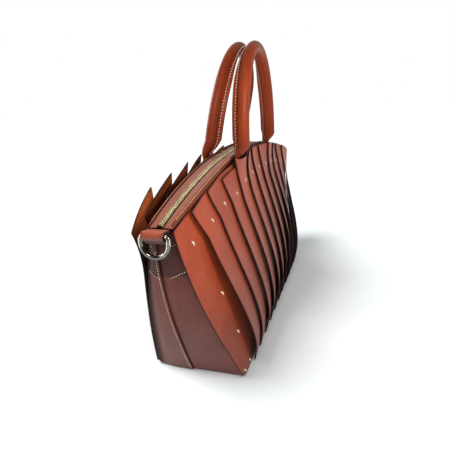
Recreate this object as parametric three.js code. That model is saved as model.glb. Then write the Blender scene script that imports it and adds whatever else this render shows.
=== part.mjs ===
// A zipped leather tote bag whose front and back are covered by overlapping leather slats.
// Millimetres, +Z up. X runs along the bag, -Y is the front, and the bag stands on z = 0.
//
// The body is described by two fractions: w runs along the length from -1 at the near end to 1 at the
// far end, and t runs up a wall from 0 at the base to 1 at the top edge.

import * as THREE from 'three';

// Body
const BASE_HALF_LENGTH = 148.5;
const TOP_HALF_LENGTH = 200;
const END_CURVE = 1.5; // 1 is a straight end, 1.5 one that is upright at the top
const CROWN_HEIGHT = 180; // top edge at the middle
const END_DROP = 29; // how much lower the top edge is at the ends
const BASE_HALF_DEPTH = 40.8;
const TOP_HALF_DEPTH = 8.5;
const TOP_FULLNESS = 2.5; // how far the middle of a wall stands out past its ends at the top
const MID_FULLNESS = 8.5; // and how much further a third of the way up
const SWELL_SCALE = 27 / 4; // makes t (1 - t)^2 peak at 1
const END_BULGE = 6; // how far the middle of a gusset stands out past its sides at the top
const PANEL_WALL = 1.5;
const SEAM_GAP = 0.35;
const WALL_FOOT = 0.004; // lowest t of the panels and gussets, just off the ground
const WALL_TOP = 0.994;
const PANEL_COLUMNS = 14;
const PANEL_ROWS = 10;

// Base
const BASE_THICKNESS = 2.2;
const BASE_INSET = 2.4; // from the outside of the walls to the edge of the base
const BASE_STEPS = 16;

// Gusset lap: the back half lies over the front half
const LAP_EDGE = 0.13; // cut edge of the over half, as a share of the half depth behind the middle
const LAP_REACH = 0.48; // edge of the under half, likewise
const LAP_STEP = PANEL_WALL + SEAM_GAP;
const LAP_EASE = { from: 0.56, to: 0.95 }; // where the over half comes back in, past the under half
const GUSSET_TOP = 0.985;
const GUSSET_COLUMNS = 4;
const GUSSET_ROWS = 8;

// Slats
const SLAT_COUNT = 12;
const SLAT_PITCH = 0.161; // as a share of the half length
const SLAT_WIDTH = 0.28; // likewise; the last slat is cut off at the far end
const SLAT_WALL = 1.3;
const SLAT_SEAT = 0.5; // clearance under the tucked edge
const SLAT_LAP_LIFT = 4.1; // lift of a free edge that lies over the slat beside it
const SLAT_FIRST_LIFT = 0.5; // lift of the first free edge, with no slat under it
const SLAT_OVERHANG = 0.02; // how far the first free edge stands past the end of the wall
const SLAT_SWEEP = 0.055; // how far the other free edges sweep towards the near end at their tops
const SWEEP_START = 0.84;
const SLAT_FOOT = 0.008;
const SLAT_FOOT_TRIM = 0.006; // how much higher the foot of a free edge is cut
const SLAT_FOOT_LIFT = 2.7; // lift of a free edge at its foot
const SLAT_FOOT_EASE = 0.2; // height over which it grows to the full lift
const SLAT_COLUMNS = 4;
const SLAT_ROWS = 14;

// One row per slat from the near end: how far its free edge swells out at mid height, and on the front the
// height of its top and how much higher its free corner is cut. Past the near handle leg the tops stand in
// front of the placket.
const SLATS = [
  { swell: 0.0, top: 1.000, corner: 0.00 },
  { swell: 6.95, top: 1.005, corner: 0.00 },
  { swell: 3.95, top: 1.005, corner: 0.00 },
  { swell: 3.95, top: 0.985, corner: 0.00 },
  { swell: 3.95, top: 1.012, corner: 0.03 },
  { swell: 3.95, top: 1.012, corner: 0.02 },
  { swell: 3.95, top: 1.012, corner: 0.00 },
  { swell: 3.95, top: 1.012, corner: 0.00 },
  { swell: 4.95, top: 1.012, corner: 0.01 },
  { swell: 4.95, top: 1.012, corner: 0.00 },
  { swell: 4.95, top: 1.012, corner: 0.00 },
  { swell: 4.95, top: 1.012, corner: 0.00 },
];

// Tops of the slats: height where each lean begins, how fast it grows and how far it reaches
const FRONT_FLARE = { start: 0.8, power: 1.5, reach: 2.4 }; // on the front past the near handle leg
const HANDLE_FLARE = { start: 0.8, power: 1.5, reach: 6.5 }; // over the handle ends
const HANDLE_FLARE_SPAN = 35;
const FAR_FLARE = { start: 0.5, power: 1.3, reach: 9 }; // at the far end of the front
const BACK_FLARE = { start: 0.45, power: 1.7, reach: 5 }; // all along the back
const BACK_END_FLARE = { start: 0.7, power: 2.6, reach: 12 }; // at the near end of the back
const BACK_TIP_FLARE = { start: 0.6, power: 1.5, reach: 7.8 }; // at the free corners of the back
const END_FLARE_SPAN = { from: 0.4, to: 1 }; // stretch of w over which the end flares grow
const TIP_FLARE_SPAN = { from: -0.3, to: 0.6 };
const FRONT_FLARE_SPAN = { from: -0.47, to: -0.2 };
const CORNER_POWER = 8; // how quickly the front's corners run out along the top
const BACK_TOP = { freeEdge: 1.01, tuckedEdge: 0.965 };

// Zip and plackets; heights are above the top edge of the walls
const TEETH_HALF_WIDTH = 2.5;
const TEETH_LOW = 0.3;
const TEETH_HIGH = 3.3;
const TAPE_LOW = 1.0;
const TAPE_THICKNESS = 0.9;
const PLACKET_LOW = 2.7;
const PLACKET_WALL = 1.3;
const PLACKET_NOTCH_SPAN = 15; // length over which it narrows before the near handle leg
const ZIP_END = 1.01;
const ZIP_STEPS = 20;
const PLACKET_ROWS = 3;
const PLACKET_TAPER_START = 0.8; // from here to the near end the outer edge draws in by the taper

// The two plackets: reach of the inner and the outer edge past the wall's outer face, fall to the outer edge,
// how much narrower it is from the near handle leg on, taper at the near end, and how far past the wall's
// face the tape under it ends. Both are rounded over and turned down.
const PLACKETS = {
  front: { side: -1, inner: 0.3, outer: 3.2, fall: 1.6, notch: 1.1, taper: 1.2, tapeReach: 1.0 },
  back: { side: 1, inner: -1.3, outer: 1.4, fall: 4.0, notch: 0, taper: 0, tapeReach: -0.9 },
};

// Zip slider, closed at the far end, with its pull laid back along the teeth
const SLIDER_START = 174;
const SLIDER_LENGTH = 12;
const SLIDER_WIDTH = 5.2;
const SLIDER_LOW = 0.4;
const SLIDER_HIGH = 5.4;
const SLIDER_NOSE = 3; // length of the sloping far end of the bridge
const PULL_LENGTH = 24;
const PULL_THICKNESS = 1.6;
const PULL_CLEARANCE = 1.2; // between the pull's end and the teeth

// Handles
const HANDLE_HALF_SPAN = 61;
const HANDLE_SPRING = 196; // height where the legs end and the arch begins
const HANDLE_RISE = 86;
const HANDLE_RADIUS = 5.9;
const FLANGE_HALF_WALL = 1.2;
const FLANGE_LEG = 4.7;
const FLANGE_CROWN = 1.6;
const FLANGE_NARROWS = 0.55; // share of the arch's rise above which the flange narrows
const FLANGE_ANGLE = THREE.MathUtils.degToRad(14);
const HANDLE_SIDES = 10;
const ARCH_STEPS = 20;

// The two handles: side of the bag, column of the leg table, depth of the centre line at the foot and top
// of the arch, and how much deeper the foot of the far leg is.
const HANDLES = [
  { name: 'handle_front', side: -1, legDepth: 'front', springDepth: 23, crownDepth: 21.9, twist: 0 },
  { name: 'handle_back', side: 1, legDepth: 'back', springDepth: 9.4, crownDepth: -5.5, twist: 7.5 },
];

// Leg sections below the arch, from the tucked tab up: height, depth of the middle on the front and back
// handle, half width along the bag, half thickness, and length of the flange.
const LEG_SECTIONS = [
  { z: 164, front: 14.8, back: 14.8, wide: 6.0, thick: 0.75, flange: 0 },
  { z: 173, front: 15.8, back: 15.0, wide: 6.4, thick: 1.5, flange: 0 },
  { z: 179, front: 17.2, back: 15.4, wide: 6.6, thick: 2.6, flange: 0.3 },
  { z: 183, front: 19.4, back: 15.2, wide: 6.2, thick: 3.9, flange: 1.7 },
  { z: 188.5, front: 22.5, back: 12.7, wide: 5.9, thick: 5.6, flange: 2.9 },
];

// Ring tabs and rings
const RING_BAR_X = 212.5;
const RING_BAR_Z = 149;
const RING_WIRE = 1.6;
const RING_HALF_WIDTH = 10.3;
const RING_SIDE = 4.9;
const RING_WIRE_SIDES = 8;
const RING_BAR_STEPS = 4;
const RING_SIDE_STEPS = 2;
const RING_BOW_STEPS = 14;
const TAB_HALF_WIDTH = 8.2;
const TAB_WALL = 1.6;
const TAB_BORE = RING_WIRE + 0.35;
const TAB_STEPS = 14;
const TAB_WRAP = THREE.MathUtils.degToRad(112); // to either side of the outermost line of the loop
const TAB_TAIL = { x: 203.2, z: 149.6 }; // where the upper ply ends, over the end of the zip
const TAB_FOOT = { x: 207.8, z: 142.5 }; // where the lower ply ends, on the gusset

// Finishes
const tan = new THREE.MeshStandardMaterial({ color: 0x9c4426, roughness: 0.42, metalness: 0 });
const darkTan = new THREE.MeshStandardMaterial({ color: 0x6b3426, roughness: 0.45, metalness: 0 });
const webbing = new THREE.MeshStandardMaterial({ color: 0x8f5a48, roughness: 0.85, metalness: 0 });
const brass = new THREE.MeshStandardMaterial({ color: 0xc9b277, roughness: 0.35, metalness: 1 });
const gunmetal = new THREE.MeshStandardMaterial({ color: 0x6f6c64, roughness: 0.22, metalness: 1 });

// Half length of the body at height t: outward-leaning ends that grow upright towards the top.
function halfLength(t) {
  const swing = END_CURVE * t - (END_CURVE - 1) * t ** 3;
  return BASE_HALF_LENGTH + (TOP_HALF_LENGTH - BASE_HALF_LENGTH) * swing;
}

// Height of the arched top edge.
function topHeight(w) {
  return CROWN_HEIGHT - END_DROP * w * w;
}

// A swell that starts from nothing at the base, is 1 a third of the way up and dies out at the top.
function swellAt(t) {
  return SWELL_SCALE * t * Math.max(0, 1 - t) ** 2;
}

// Distance from the middle plane to the outside of a wall.
function halfDepth(w, t) {
  const lean = THREE.MathUtils.lerp(BASE_HALF_DEPTH, TOP_HALF_DEPTH, t);
  const fullness = TOP_FULLNESS * t + MID_FULLNESS * swellAt(t);
  return lean + fullness * Math.max(0, 1 - w ** 4);
}

// A point on the front (side -1) or back (side 1) wall, moved out of it by an offset. The back is the front
// turned half round, so there w runs the other way.
function wallPoint(w, t, offset, side) {
  return new THREE.Vector3(-side * w * halfLength(t), side * (halfDepth(w, t) + offset), t * topHeight(w));
}

// Turns triangles over where their enclosed volume comes out negative, so that faces point out.
function faceOut(positions, triangles) {
  let volume = 0;
  for (const [a, b, c] of triangles) {
    volume += positions[a].dot(positions[b].clone().cross(positions[c]));
  }
  const outward = volume > 0 ? triangles : triangles.map(([a, b, c]) => [a, c, b]);
  const geometry = new THREE.BufferGeometry().setFromPoints(positions);
  geometry.setIndex(outward.flat());
  geometry.computeVertexNormals();
  return geometry;
}

// A closed wall: place(u, v, 0) is its inner face and place(u, v, 1) its outer face, u and v from 0 to 1.
function closedWall(columns, rows, place) {
  const positions = [];
  for (const face of [0, 1]) {
    for (let row = 0; row <= rows; row++) {
      for (let column = 0; column <= columns; column++) {
        positions.push(place(column / columns, row / rows, face));
      }
    }
  }
  const at = (column, row, face) => (face * (rows + 1) + row) * (columns + 1) + column;
  const triangles = [];
  const quad = (a, b, c, d) => triangles.push([a, b, c], [a, c, d]);
  for (let row = 0; row < rows; row++) {
    for (let column = 0; column < columns; column++) {
      const corners = [[column, row], [column + 1, row], [column + 1, row + 1], [column, row + 1]];
      quad(...corners.map(([i, j]) => at(i, j, 1)));
      quad(...corners.reverse().map(([i, j]) => at(i, j, 0)));
    }
  }
  for (let column = 0; column < columns; column++) {
    quad(at(column, 0, 0), at(column + 1, 0, 0), at(column + 1, 0, 1), at(column, 0, 1));
    quad(at(column + 1, rows, 0), at(column, rows, 0), at(column, rows, 1), at(column + 1, rows, 1));
  }
  for (let row = 0; row < rows; row++) {
    quad(at(0, row + 1, 0), at(0, row, 0), at(0, row, 1), at(0, row + 1, 1));
    quad(at(columns, row, 0), at(columns, row + 1, 0), at(columns, row + 1, 1), at(columns, row, 1));
  }
  return faceOut(positions, triangles);
}

// A solid through rings of points: capped at both ends, or joined to itself where closed is true.
function loft(rings, closed) {
  const sides = rings[0].length;
  const spans = closed ? rings.length : rings.length - 1;
  const triangles = [];
  for (let span = 0; span < spans; span++) {
    const here = span * sides;
    const next = ((span + 1) % rings.length) * sides;
    for (let side = 0; side < sides; side++) {
      const turn = (side + 1) % sides;
      triangles.push([here + side, here + turn, next + turn], [here + side, next + turn, next + side]);
    }
  }
  if (!closed) {
    const last = (rings.length - 1) * sides;
    for (let side = 1; side < sides - 1; side++) {
      triangles.push([0, side + 1, side], [last, last + side, last + side + 1]);
    }
  }
  return faceOut(rings.flat(), triangles);
}

function buildBase() {
  const outline = [];
  for (const side of [-1, 1]) {
    for (let step = 0; step < BASE_STEPS; step++) {
      const w = side * (2 * step / BASE_STEPS - 1);
      const x = w * (BASE_HALF_LENGTH - BASE_INSET);
      outline.push(new THREE.Vector2(x, side * (halfDepth(w, 0) - BASE_INSET)));
    }
    const corner = side * (BASE_HALF_LENGTH - BASE_INSET);
    outline.push(new THREE.Vector2(corner, side * (BASE_HALF_DEPTH - BASE_INSET)));
  }
  const shape = new THREE.Shape(outline);
  return new THREE.ExtrudeGeometry(shape, { depth: BASE_THICKNESS, bevelEnabled: false });
}

function buildPanel(side) {
  return closedWall(PANEL_COLUMNS, PANEL_ROWS, (u, v, face) => {
    const t = THREE.MathUtils.lerp(WALL_FOOT, WALL_TOP, v);
    const behindGusset = 1 - (PANEL_WALL + SEAM_GAP) / halfLength(t);
    return wallPoint((2 * u - 1) * behindGusset, t, (face - 1) * PANEL_WALL, side);
  });
}

// One half of an end. The under half (front) runs past the middle and the over half steps out to lie on it.
function buildGussetHalf(end, side) {
  return closedWall(GUSSET_COLUMNS, GUSSET_ROWS, (u, v, face) => {
    const t = THREE.MathUtils.lerp(WALL_FOOT, GUSSET_TOP, v);
    const depth = halfDepth(1, t);
    const innerEdge = side < 0 ? -LAP_REACH : LAP_EDGE;
    const across = THREE.MathUtils.lerp(innerEdge, 1, u);
    const bulge = END_BULGE * Math.sqrt(t) * (1 - across ** 2);
    const ease = THREE.MathUtils.smoothstep(across, LAP_EASE.from, LAP_EASE.to);
    const step = side < 0 ? 0 : LAP_STEP * (1 - ease);
    const x = halfLength(t) + bulge + step + (face - 1) * PANEL_WALL;
    return new THREE.Vector3(end * x, side * across * depth, t * topHeight(1));
  });
}

// One lean at height t.
function leanOut({ start, power, reach }, t) {
  return reach * Math.max(0, (t - start) / (1 - start)) ** power;
}

// How far a slat leans out near its top, u running from its free edge to its tucked edge.
function flare(w, t, u, side) {
  const toEnd = THREE.MathUtils.smoothstep(w, END_FLARE_SPAN.from, END_FLARE_SPAN.to);
  if (side > 0) {
    const toTip = THREE.MathUtils.smoothstep(w, TIP_FLARE_SPAN.from, TIP_FLARE_SPAN.to) * (1 - u);
    return leanOut(BACK_FLARE, t) + leanOut(BACK_END_FLARE, t) * toEnd + leanOut(BACK_TIP_FLARE, t) * toTip;
  }
  let byLeg = 0;
  for (const leg of [-HANDLE_HALF_SPAN, HANDLE_HALF_SPAN]) {
    byLeg += Math.exp(-(((w * TOP_HALF_LENGTH - leg) / HANDLE_FLARE_SPAN) ** 2));
  }
  const pastLeg = THREE.MathUtils.smoothstep(w, FRONT_FLARE_SPAN.from, FRONT_FLARE_SPAN.to);
  return leanOut(FRONT_FLARE, t) * pastLeg + leanOut(FAR_FLARE, t) * toEnd + leanOut(HANDLE_FLARE, t) * byLeg;
}

// Free-edge lift of a slat at height t.
function edgeLift(index, t) {
  const grown = THREE.MathUtils.smoothstep(t, 0, SLAT_FOOT_EASE);
  const lap = index === 0 ? SLAT_FIRST_LIFT : THREE.MathUtils.lerp(SLAT_FOOT_LIFT, SLAT_LAP_LIFT, grown);
  return lap + SLATS[index].swell * swellAt(t);
}

// How far a free edge stands towards the near end of its own place.
function edgeSweep(index, t) {
  if (index === 0) {
    return SLAT_OVERHANG;
  }
  return SLAT_SWEEP * Math.max(0, (t - SWEEP_START) / (1 - SWEEP_START));
}

// Height t at which a slat is cut off, u running from its free edge to its tucked edge.
function slatTop(index, side, u) {
  if (side < 0) {
    return SLATS[index].top + SLATS[index].corner * (1 - u) ** CORNER_POWER;
  }
  return THREE.MathUtils.lerp(BACK_TOP.freeEdge, BACK_TOP.tuckedEdge, u);
}

function buildSlat(index, side) {
  const start = -1 + index * SLAT_PITCH;
  const width = Math.min(SLAT_WIDTH, 1 - start);
  return closedWall(SLAT_COLUMNS, SLAT_ROWS, (u, v, face) => {
    const foot = SLAT_FOOT + (index === 0 ? 0 : SLAT_FOOT_TRIM * (1 - u));
    const t = THREE.MathUtils.lerp(foot, slatTop(index, side, u), v);
    const w = start + u * width - edgeSweep(index, t) * (1 - u);
    const lift = SLAT_SEAT + edgeLift(index, t) * (1 - u) + flare(w, t, u, side);
    return wallPoint(w, t, lift + face * SLAT_WALL, side);
  });
}

// A strip along the top of the bag between two depths, with its own height over the wall's top edge.
function topStrip(side, rows, depthAt, heightAt, thickness) {
  return closedWall(ZIP_STEPS, rows, (u, v, face) => {
    const w = ZIP_END * (2 * u - 1);
    const z = topHeight(w) + heightAt(w, v) + face * thickness;
    return new THREE.Vector3(w * TOP_HALF_LENGTH, side * depthAt(w, v), z);
  });
}

function buildTape({ side, tapeReach }) {
  const inner = TEETH_HALF_WIDTH + SEAM_GAP;
  const depthAt = (w, v) => THREE.MathUtils.lerp(inner, halfDepth(w, 1) + tapeReach, v);
  return topStrip(side, 1, depthAt, () => TAPE_LOW, TAPE_THICKNESS);
}

function buildPlacket({ side, inner, outer, fall, notch, taper }) {
  const reachAt = (w) => {
    const toLeg = Math.max(0, -HANDLE_HALF_SPAN - w * TOP_HALF_LENGTH);
    const toEnd = THREE.MathUtils.smoothstep(-w, PLACKET_TAPER_START, 1);
    return outer - notch * Math.exp(-((toLeg / PLACKET_NOTCH_SPAN) ** 2)) - taper * toEnd;
  };
  const depthAt = (w, v) => halfDepth(w, 1) + THREE.MathUtils.lerp(inner, reachAt(w), v);
  const heightAt = (w, v) => PLACKET_LOW - v * v * fall * (reachAt(w) - inner) / (outer - inner);
  return topStrip(side, PLACKET_ROWS, depthAt, heightAt, PLACKET_WALL);
}

function buildTeeth() {
  const first = -ZIP_END;
  const last = (SLIDER_START - SEAM_GAP) / TOP_HALF_LENGTH;
  return closedWall(ZIP_STEPS, 1, (u, v, face) => {
    const w = THREE.MathUtils.lerp(first, last, u);
    const height = topHeight(w) + (face ? TEETH_HIGH : TEETH_LOW);
    return new THREE.Vector3(w * TOP_HALF_LENGTH, (2 * v - 1) * TEETH_HALF_WIDTH, height);
  });
}

// Slider body with its pull, drawn from the side and carried across its width.
function buildSlider() {
  const far = SLIDER_START + SLIDER_LENGTH;
  const pullEnd = SLIDER_START - PULL_LENGTH;
  const [startFloor, farFloor, pullFloor] =
    [SLIDER_START, far, pullEnd].map((x) => topHeight(x / TOP_HALF_LENGTH));
  const pullLow = pullFloor + TEETH_HIGH + PULL_CLEARANCE;
  const outline = [
    [SLIDER_START, startFloor + SLIDER_LOW],
    [far, farFloor + SLIDER_LOW],
    [far, farFloor + SLIDER_HIGH],
    [far - SLIDER_NOSE, farFloor + SLIDER_HIGH + PULL_THICKNESS],
    [SLIDER_START, startFloor + SLIDER_HIGH + PULL_THICKNESS],
    [pullEnd, pullLow + PULL_THICKNESS],
    [pullEnd, pullLow],
    [SLIDER_START, startFloor + SLIDER_HIGH],
  ];
  const shape = new THREE.Shape(outline.map(([x, z]) => new THREE.Vector2(x, z)));
  const geometry = new THREE.ExtrudeGeometry(shape, { depth: SLIDER_WIDTH, bevelEnabled: false });
  return geometry.rotateX(Math.PI / 2).translate(0, SLIDER_WIDTH / 2, 0);
}

// One ring of a handle: a round tube with a flat stitched flange on the side towards the zip.
function handleRing(section) {
  const { centre, across, wide, thick, flange, inward } = section;
  const depthwise = new THREE.Vector3(0, inward, 0);
  const place = (radial, depth) =>
    centre.clone().addScaledVector(across, radial).addScaledVector(depthwise, depth);
  const ring = [];
  for (let side = 0; side < HANDLE_SIDES; side++) {
    const angle = FLANGE_ANGLE + (2 * Math.PI - 2 * FLANGE_ANGLE) * side / (HANDLE_SIDES - 1);
    ring.push(place(wide * Math.sin(angle), thick * Math.cos(angle)));
  }
  ring.push(place(-FLANGE_HALF_WALL, thick + flange), place(FLANGE_HALF_WALL, thick + flange));
  return ring;
}

function buildHandle({ side, legDepth, springDepth, crownDepth, twist }) {
  const inward = -side;
  const firstBend = LEG_SECTIONS[1].z;
  const [near, far] = [-1, 1].map((leg) => LEG_SECTIONS.map((row) => {
    const turned = leg < 0 ? 0 : twist * THREE.MathUtils.smoothstep(row.z, firstBend, HANDLE_SPRING);
    return handleRing({
      centre: new THREE.Vector3(leg * HANDLE_HALF_SPAN, side * (row[legDepth] + turned), row.z),
      across: new THREE.Vector3(leg, 0, 0),
      wide: row.wide,
      thick: row.thick,
      flange: row.flange,
      inward,
    });
  }));
  const arch = [];
  for (let step = 0; step <= ARCH_STEPS; step++) {
    const angle = Math.PI * (1 - step / ARCH_STEPS);
    const along = Math.cos(angle);
    const rise = Math.sin(angle);
    const depth = THREE.MathUtils.lerp(springDepth + twist * (1 + along) / 2, crownDepth, rise);
    const narrowed = THREE.MathUtils.smoothstep(rise, FLANGE_NARROWS, 1);
    arch.push(handleRing({
      centre: new THREE.Vector3(HANDLE_HALF_SPAN * along, side * depth, HANDLE_SPRING + HANDLE_RISE * rise),
      across: new THREE.Vector3(along * HANDLE_RISE, 0, rise * HANDLE_HALF_SPAN).normalize(),
      wide: HANDLE_RADIUS,
      thick: HANDLE_RADIUS,
      flange: THREE.MathUtils.lerp(FLANGE_LEG, FLANGE_CROWN, narrowed),
      inward,
    }));
  }
  return loft([...near, ...arch, ...far.reverse()], false);
}

// The D-shaped wire loop in its hanging place: bar along Y in the tab, sides down, round bow at the bottom.
function buildRing(end) {
  const bow = RING_HALF_WIDTH;
  const centres = [];
  for (let step = 0; step < RING_BAR_STEPS; step++) {
    centres.push([bow - 2 * bow * step / RING_BAR_STEPS, 0]);
  }
  for (let step = 0; step < RING_SIDE_STEPS; step++) {
    centres.push([-bow, -RING_SIDE * step / RING_SIDE_STEPS]);
  }
  for (let step = 0; step < RING_BOW_STEPS; step++) {
    const angle = Math.PI * (1 + step / RING_BOW_STEPS);
    centres.push([bow * Math.cos(angle), bow * Math.sin(angle) - RING_SIDE]);
  }
  for (let step = 0; step < RING_SIDE_STEPS; step++) {
    centres.push([bow, -RING_SIDE * (1 - step / RING_SIDE_STEPS)]);
  }
  const rings = centres.map(([y, z], index) => {
    const before = centres[(index + centres.length - 1) % centres.length];
    const after = centres[(index + 1) % centres.length];
    const outward = new THREE.Vector2(before[1] - after[1], after[0] - before[0]).normalize();
    return Array.from({ length: RING_WIRE_SIDES }, (_, side) => {
      const angle = 2 * Math.PI * side / RING_WIRE_SIDES;
      const reach = RING_WIRE * Math.cos(angle);
      return new THREE.Vector3(
        end * (RING_BAR_X + RING_WIRE * Math.sin(angle)),
        y + outward.x * reach,
        RING_BAR_Z + z + outward.y * reach);
    });
  });
  return loft(rings, true);
}

// A strap of leather from the zip's end, round the ring bar, to the gusset: its outer side seen along Y.
function buildTab(end) {
  const bar = new THREE.Vector2(RING_BAR_X, RING_BAR_Z);
  const tail = new THREE.Vector2(TAB_TAIL.x, TAB_TAIL.z);
  const foot = new THREE.Vector2(TAB_FOOT.x, TAB_FOOT.z);
  const route = [{ at: tail, out: new THREE.Vector2(0, 1) }];
  for (let step = 0; step <= TAB_STEPS; step++) {
    const angle = THREE.MathUtils.lerp(TAB_WRAP, -TAB_WRAP, step / TAB_STEPS);
    const out = new THREE.Vector2(Math.cos(angle), Math.sin(angle));
    route.push({ at: bar.clone().addScaledVector(out, TAB_BORE), out });
  }
  route.push({ at: foot, out: new THREE.Vector2(1, 0) });
  return closedWall(route.length - 1, 1, (u, v, face) => {
    const { at, out } = route[Math.round(u * (route.length - 1))];
    const spot = at.clone().addScaledVector(out, face * TAB_WALL);
    return new THREE.Vector3(end * spot.x, (2 * v - 1) * TAB_HALF_WIDTH, spot.y);
  });
}

const bag = new THREE.Group();

function add(name, geometry, material) {
  const mesh = new THREE.Mesh(geometry, material);
  mesh.name = name;
  bag.add(mesh);
}

add('base_panel', buildBase(), darkTan);
for (const [face, side] of [['front', -1], ['back', 1]]) {
  add(`${face}_panel`, buildPanel(side), darkTan);
  for (const [place, end] of [['near', -1], ['far', 1]]) {
    add(`gusset_${place}_${face}`, buildGussetHalf(end, side), darkTan);
  }
  add(`zip_tape_${face}`, buildTape(PLACKETS[face]), webbing);
  add(`${face}_placket`, buildPlacket(PLACKETS[face]), tan);
  for (let index = 0; index < SLAT_COUNT; index++) {
    add(`${face}_slat_${String(index + 1).padStart(2, '0')}`, buildSlat(index, side), tan);
  }
}
add('zip_teeth', buildTeeth(), brass);
add('zip_slider', buildSlider(), brass);
for (const handle of HANDLES) {
  add(handle.name, buildHandle(handle), tan);
}
for (const [place, end] of [['near', -1], ['far', 1]]) {
  add(`ring_tab_${place}`, buildTab(end), tan);
  add(`d_ring_${place}`, buildRing(end), gunmetal);
}

export default bag;
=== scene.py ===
"""Looks of a zipped leather tote bag with slatted faces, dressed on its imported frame.

Sizes are millimetres and become metres where a mesh is made. +X runs along the bag to its far end, -Y points
out of its front and +Z up. A place on a wall is read by two fractions: w along it, from -1 to 1, which runs
against X on the back because that face is the front turned half round, and t up it, from 0 at the base to 1
at the top edge.
"""
import logging
from dataclasses import dataclass, field
from enum import Enum
from functools import cached_property
from typing import Any, Sequence

import bpy
import numpy as np
from mathutils import Matrix, Vector


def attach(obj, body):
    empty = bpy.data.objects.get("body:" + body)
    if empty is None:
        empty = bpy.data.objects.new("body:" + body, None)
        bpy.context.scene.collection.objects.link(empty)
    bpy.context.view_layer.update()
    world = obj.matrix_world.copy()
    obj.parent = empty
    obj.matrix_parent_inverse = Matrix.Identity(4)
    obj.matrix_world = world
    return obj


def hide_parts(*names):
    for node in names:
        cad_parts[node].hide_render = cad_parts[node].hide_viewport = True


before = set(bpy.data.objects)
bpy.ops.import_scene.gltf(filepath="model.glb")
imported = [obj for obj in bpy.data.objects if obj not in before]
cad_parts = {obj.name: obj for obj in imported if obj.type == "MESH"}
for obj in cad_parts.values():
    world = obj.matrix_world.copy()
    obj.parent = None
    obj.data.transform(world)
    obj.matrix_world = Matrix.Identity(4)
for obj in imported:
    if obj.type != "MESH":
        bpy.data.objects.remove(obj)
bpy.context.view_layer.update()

log = logging.getLogger("tote_bag")

Array = np.ndarray
Colour = tuple[float, float, float]
Point = tuple[float, float, float]
Span = tuple[float, float]
MM = 0.001
RUN_MAP = "Run"  # UV map: millimetres along a piece, and from its nearest edge or across it
CLEAR_OF_EDGE = 40.0  # what a piece without cut edges has in that map
HANDLE_LEG = 61.0  # where the handles stand along the bag, both ways from its middle
BAG = "bag"
FLOOR = "floor"


class Labelled(Enum):
    """An option whose name goes into the names of pieces."""

    @property
    def label(self) -> str:
        """Word for the option in those names."""
        return self.name.lower()


class Side(Labelled):
    """A face of the bag, by the sign of its Y."""

    FRONT = -1
    BACK = 1


class End(Labelled):
    """An end of the bag, by the sign of its X."""

    NEAR = -1
    FAR = 1


class Slot(Enum):
    """Material slots of the record."""

    TAN = "tan_leather"
    DARK = "dark_leather"
    WEBBING = "webbing"
    BRASS = "brass"
    RING = "ring_metal"


# Numbers and meshes


def lerp(start: Array | float, end: Array | float, share: Array | float) -> Array:
    """Value that lies the given share of the way from start to end."""
    return np.asarray(start + (end - start) * share)


def smoothstep(value: Array | float, low: float, high: float) -> Array:
    """Rises from 0 at low to 1 at high, level at both."""
    share = np.clip((value - low) / (high - low), 0.0, 1.0)
    return share * share * (3.0 - 2.0 * share)


def unit(vectors: Array) -> Array:
    """The same directions at length 1."""
    return vectors / np.linalg.norm(vectors, axis=-1, keepdims=True)


def points(x: Array | float, y: Array | float, z: Array | float) -> Array:
    """Points from three arrays of coordinates that broadcast together."""
    return np.stack(np.broadcast_arrays(x, y, z), axis=-1).astype(float)


def full_turn(sides: int) -> Array:
    """Angles once round a section, as a row."""
    return np.linspace(0.0, 2.0 * np.pi, sides, endpoint=False)[None, :]


def edged_steps(count: int, edge: float) -> Array:
    """Steps from 0 to 1 with one narrow step at each end, where a cut edge is rounded."""
    return np.concatenate([[0.0], np.linspace(edge, 1.0 - edge, count - 1), [1.0]])


def hermite(x: Array, knots: Array, values: Array) -> Array:
    """Smooth curve through a table: cubic pieces that share their slope at each knot.

    Args:
        x: Where the curve is read.
        knots: Rising places of the table's rows.
        values: One row of values for each knot.

    Returns:
        One row of values for each x.
    """
    slopes = np.gradient(values, knots, axis=0)
    row = np.clip(np.searchsorted(knots, x, side="right") - 1, 0, len(knots) - 2)
    span = (knots[row + 1] - knots[row])[:, None]
    s = (x - knots[row])[:, None] / span
    rise = s * s * (3.0 - 2.0 * s)
    return (lerp(values[row], values[row + 1], rise)
            + span * s * (1.0 - s) * ((1.0 - s) * slopes[row] - s * slopes[row + 1]))


def reach_along(path: Array) -> Array:
    """Length of a polyline up to each of its corners."""
    return np.concatenate([[0.0], np.cumsum(np.linalg.norm(np.diff(path, axis=0), axis=1))])


def path_length(path: Array) -> float:
    """Length of a polyline."""
    return float(reach_along(path)[-1])


def along_path(path: Array, places: Array, values: Array | None = None) -> Array:
    """Points of a polyline at lengths from its start, by straight steps between its corners.

    Args:
        path: Corners of the polyline.
        places: Lengths from its start.
        values: Rows that are read in place of the corners, one for each corner.

    Returns:
        One row for each place.
    """
    reach = reach_along(path)
    read = path if values is None else values
    return np.stack([np.interp(places, reach, column) for column in read.T], axis=1)


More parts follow.
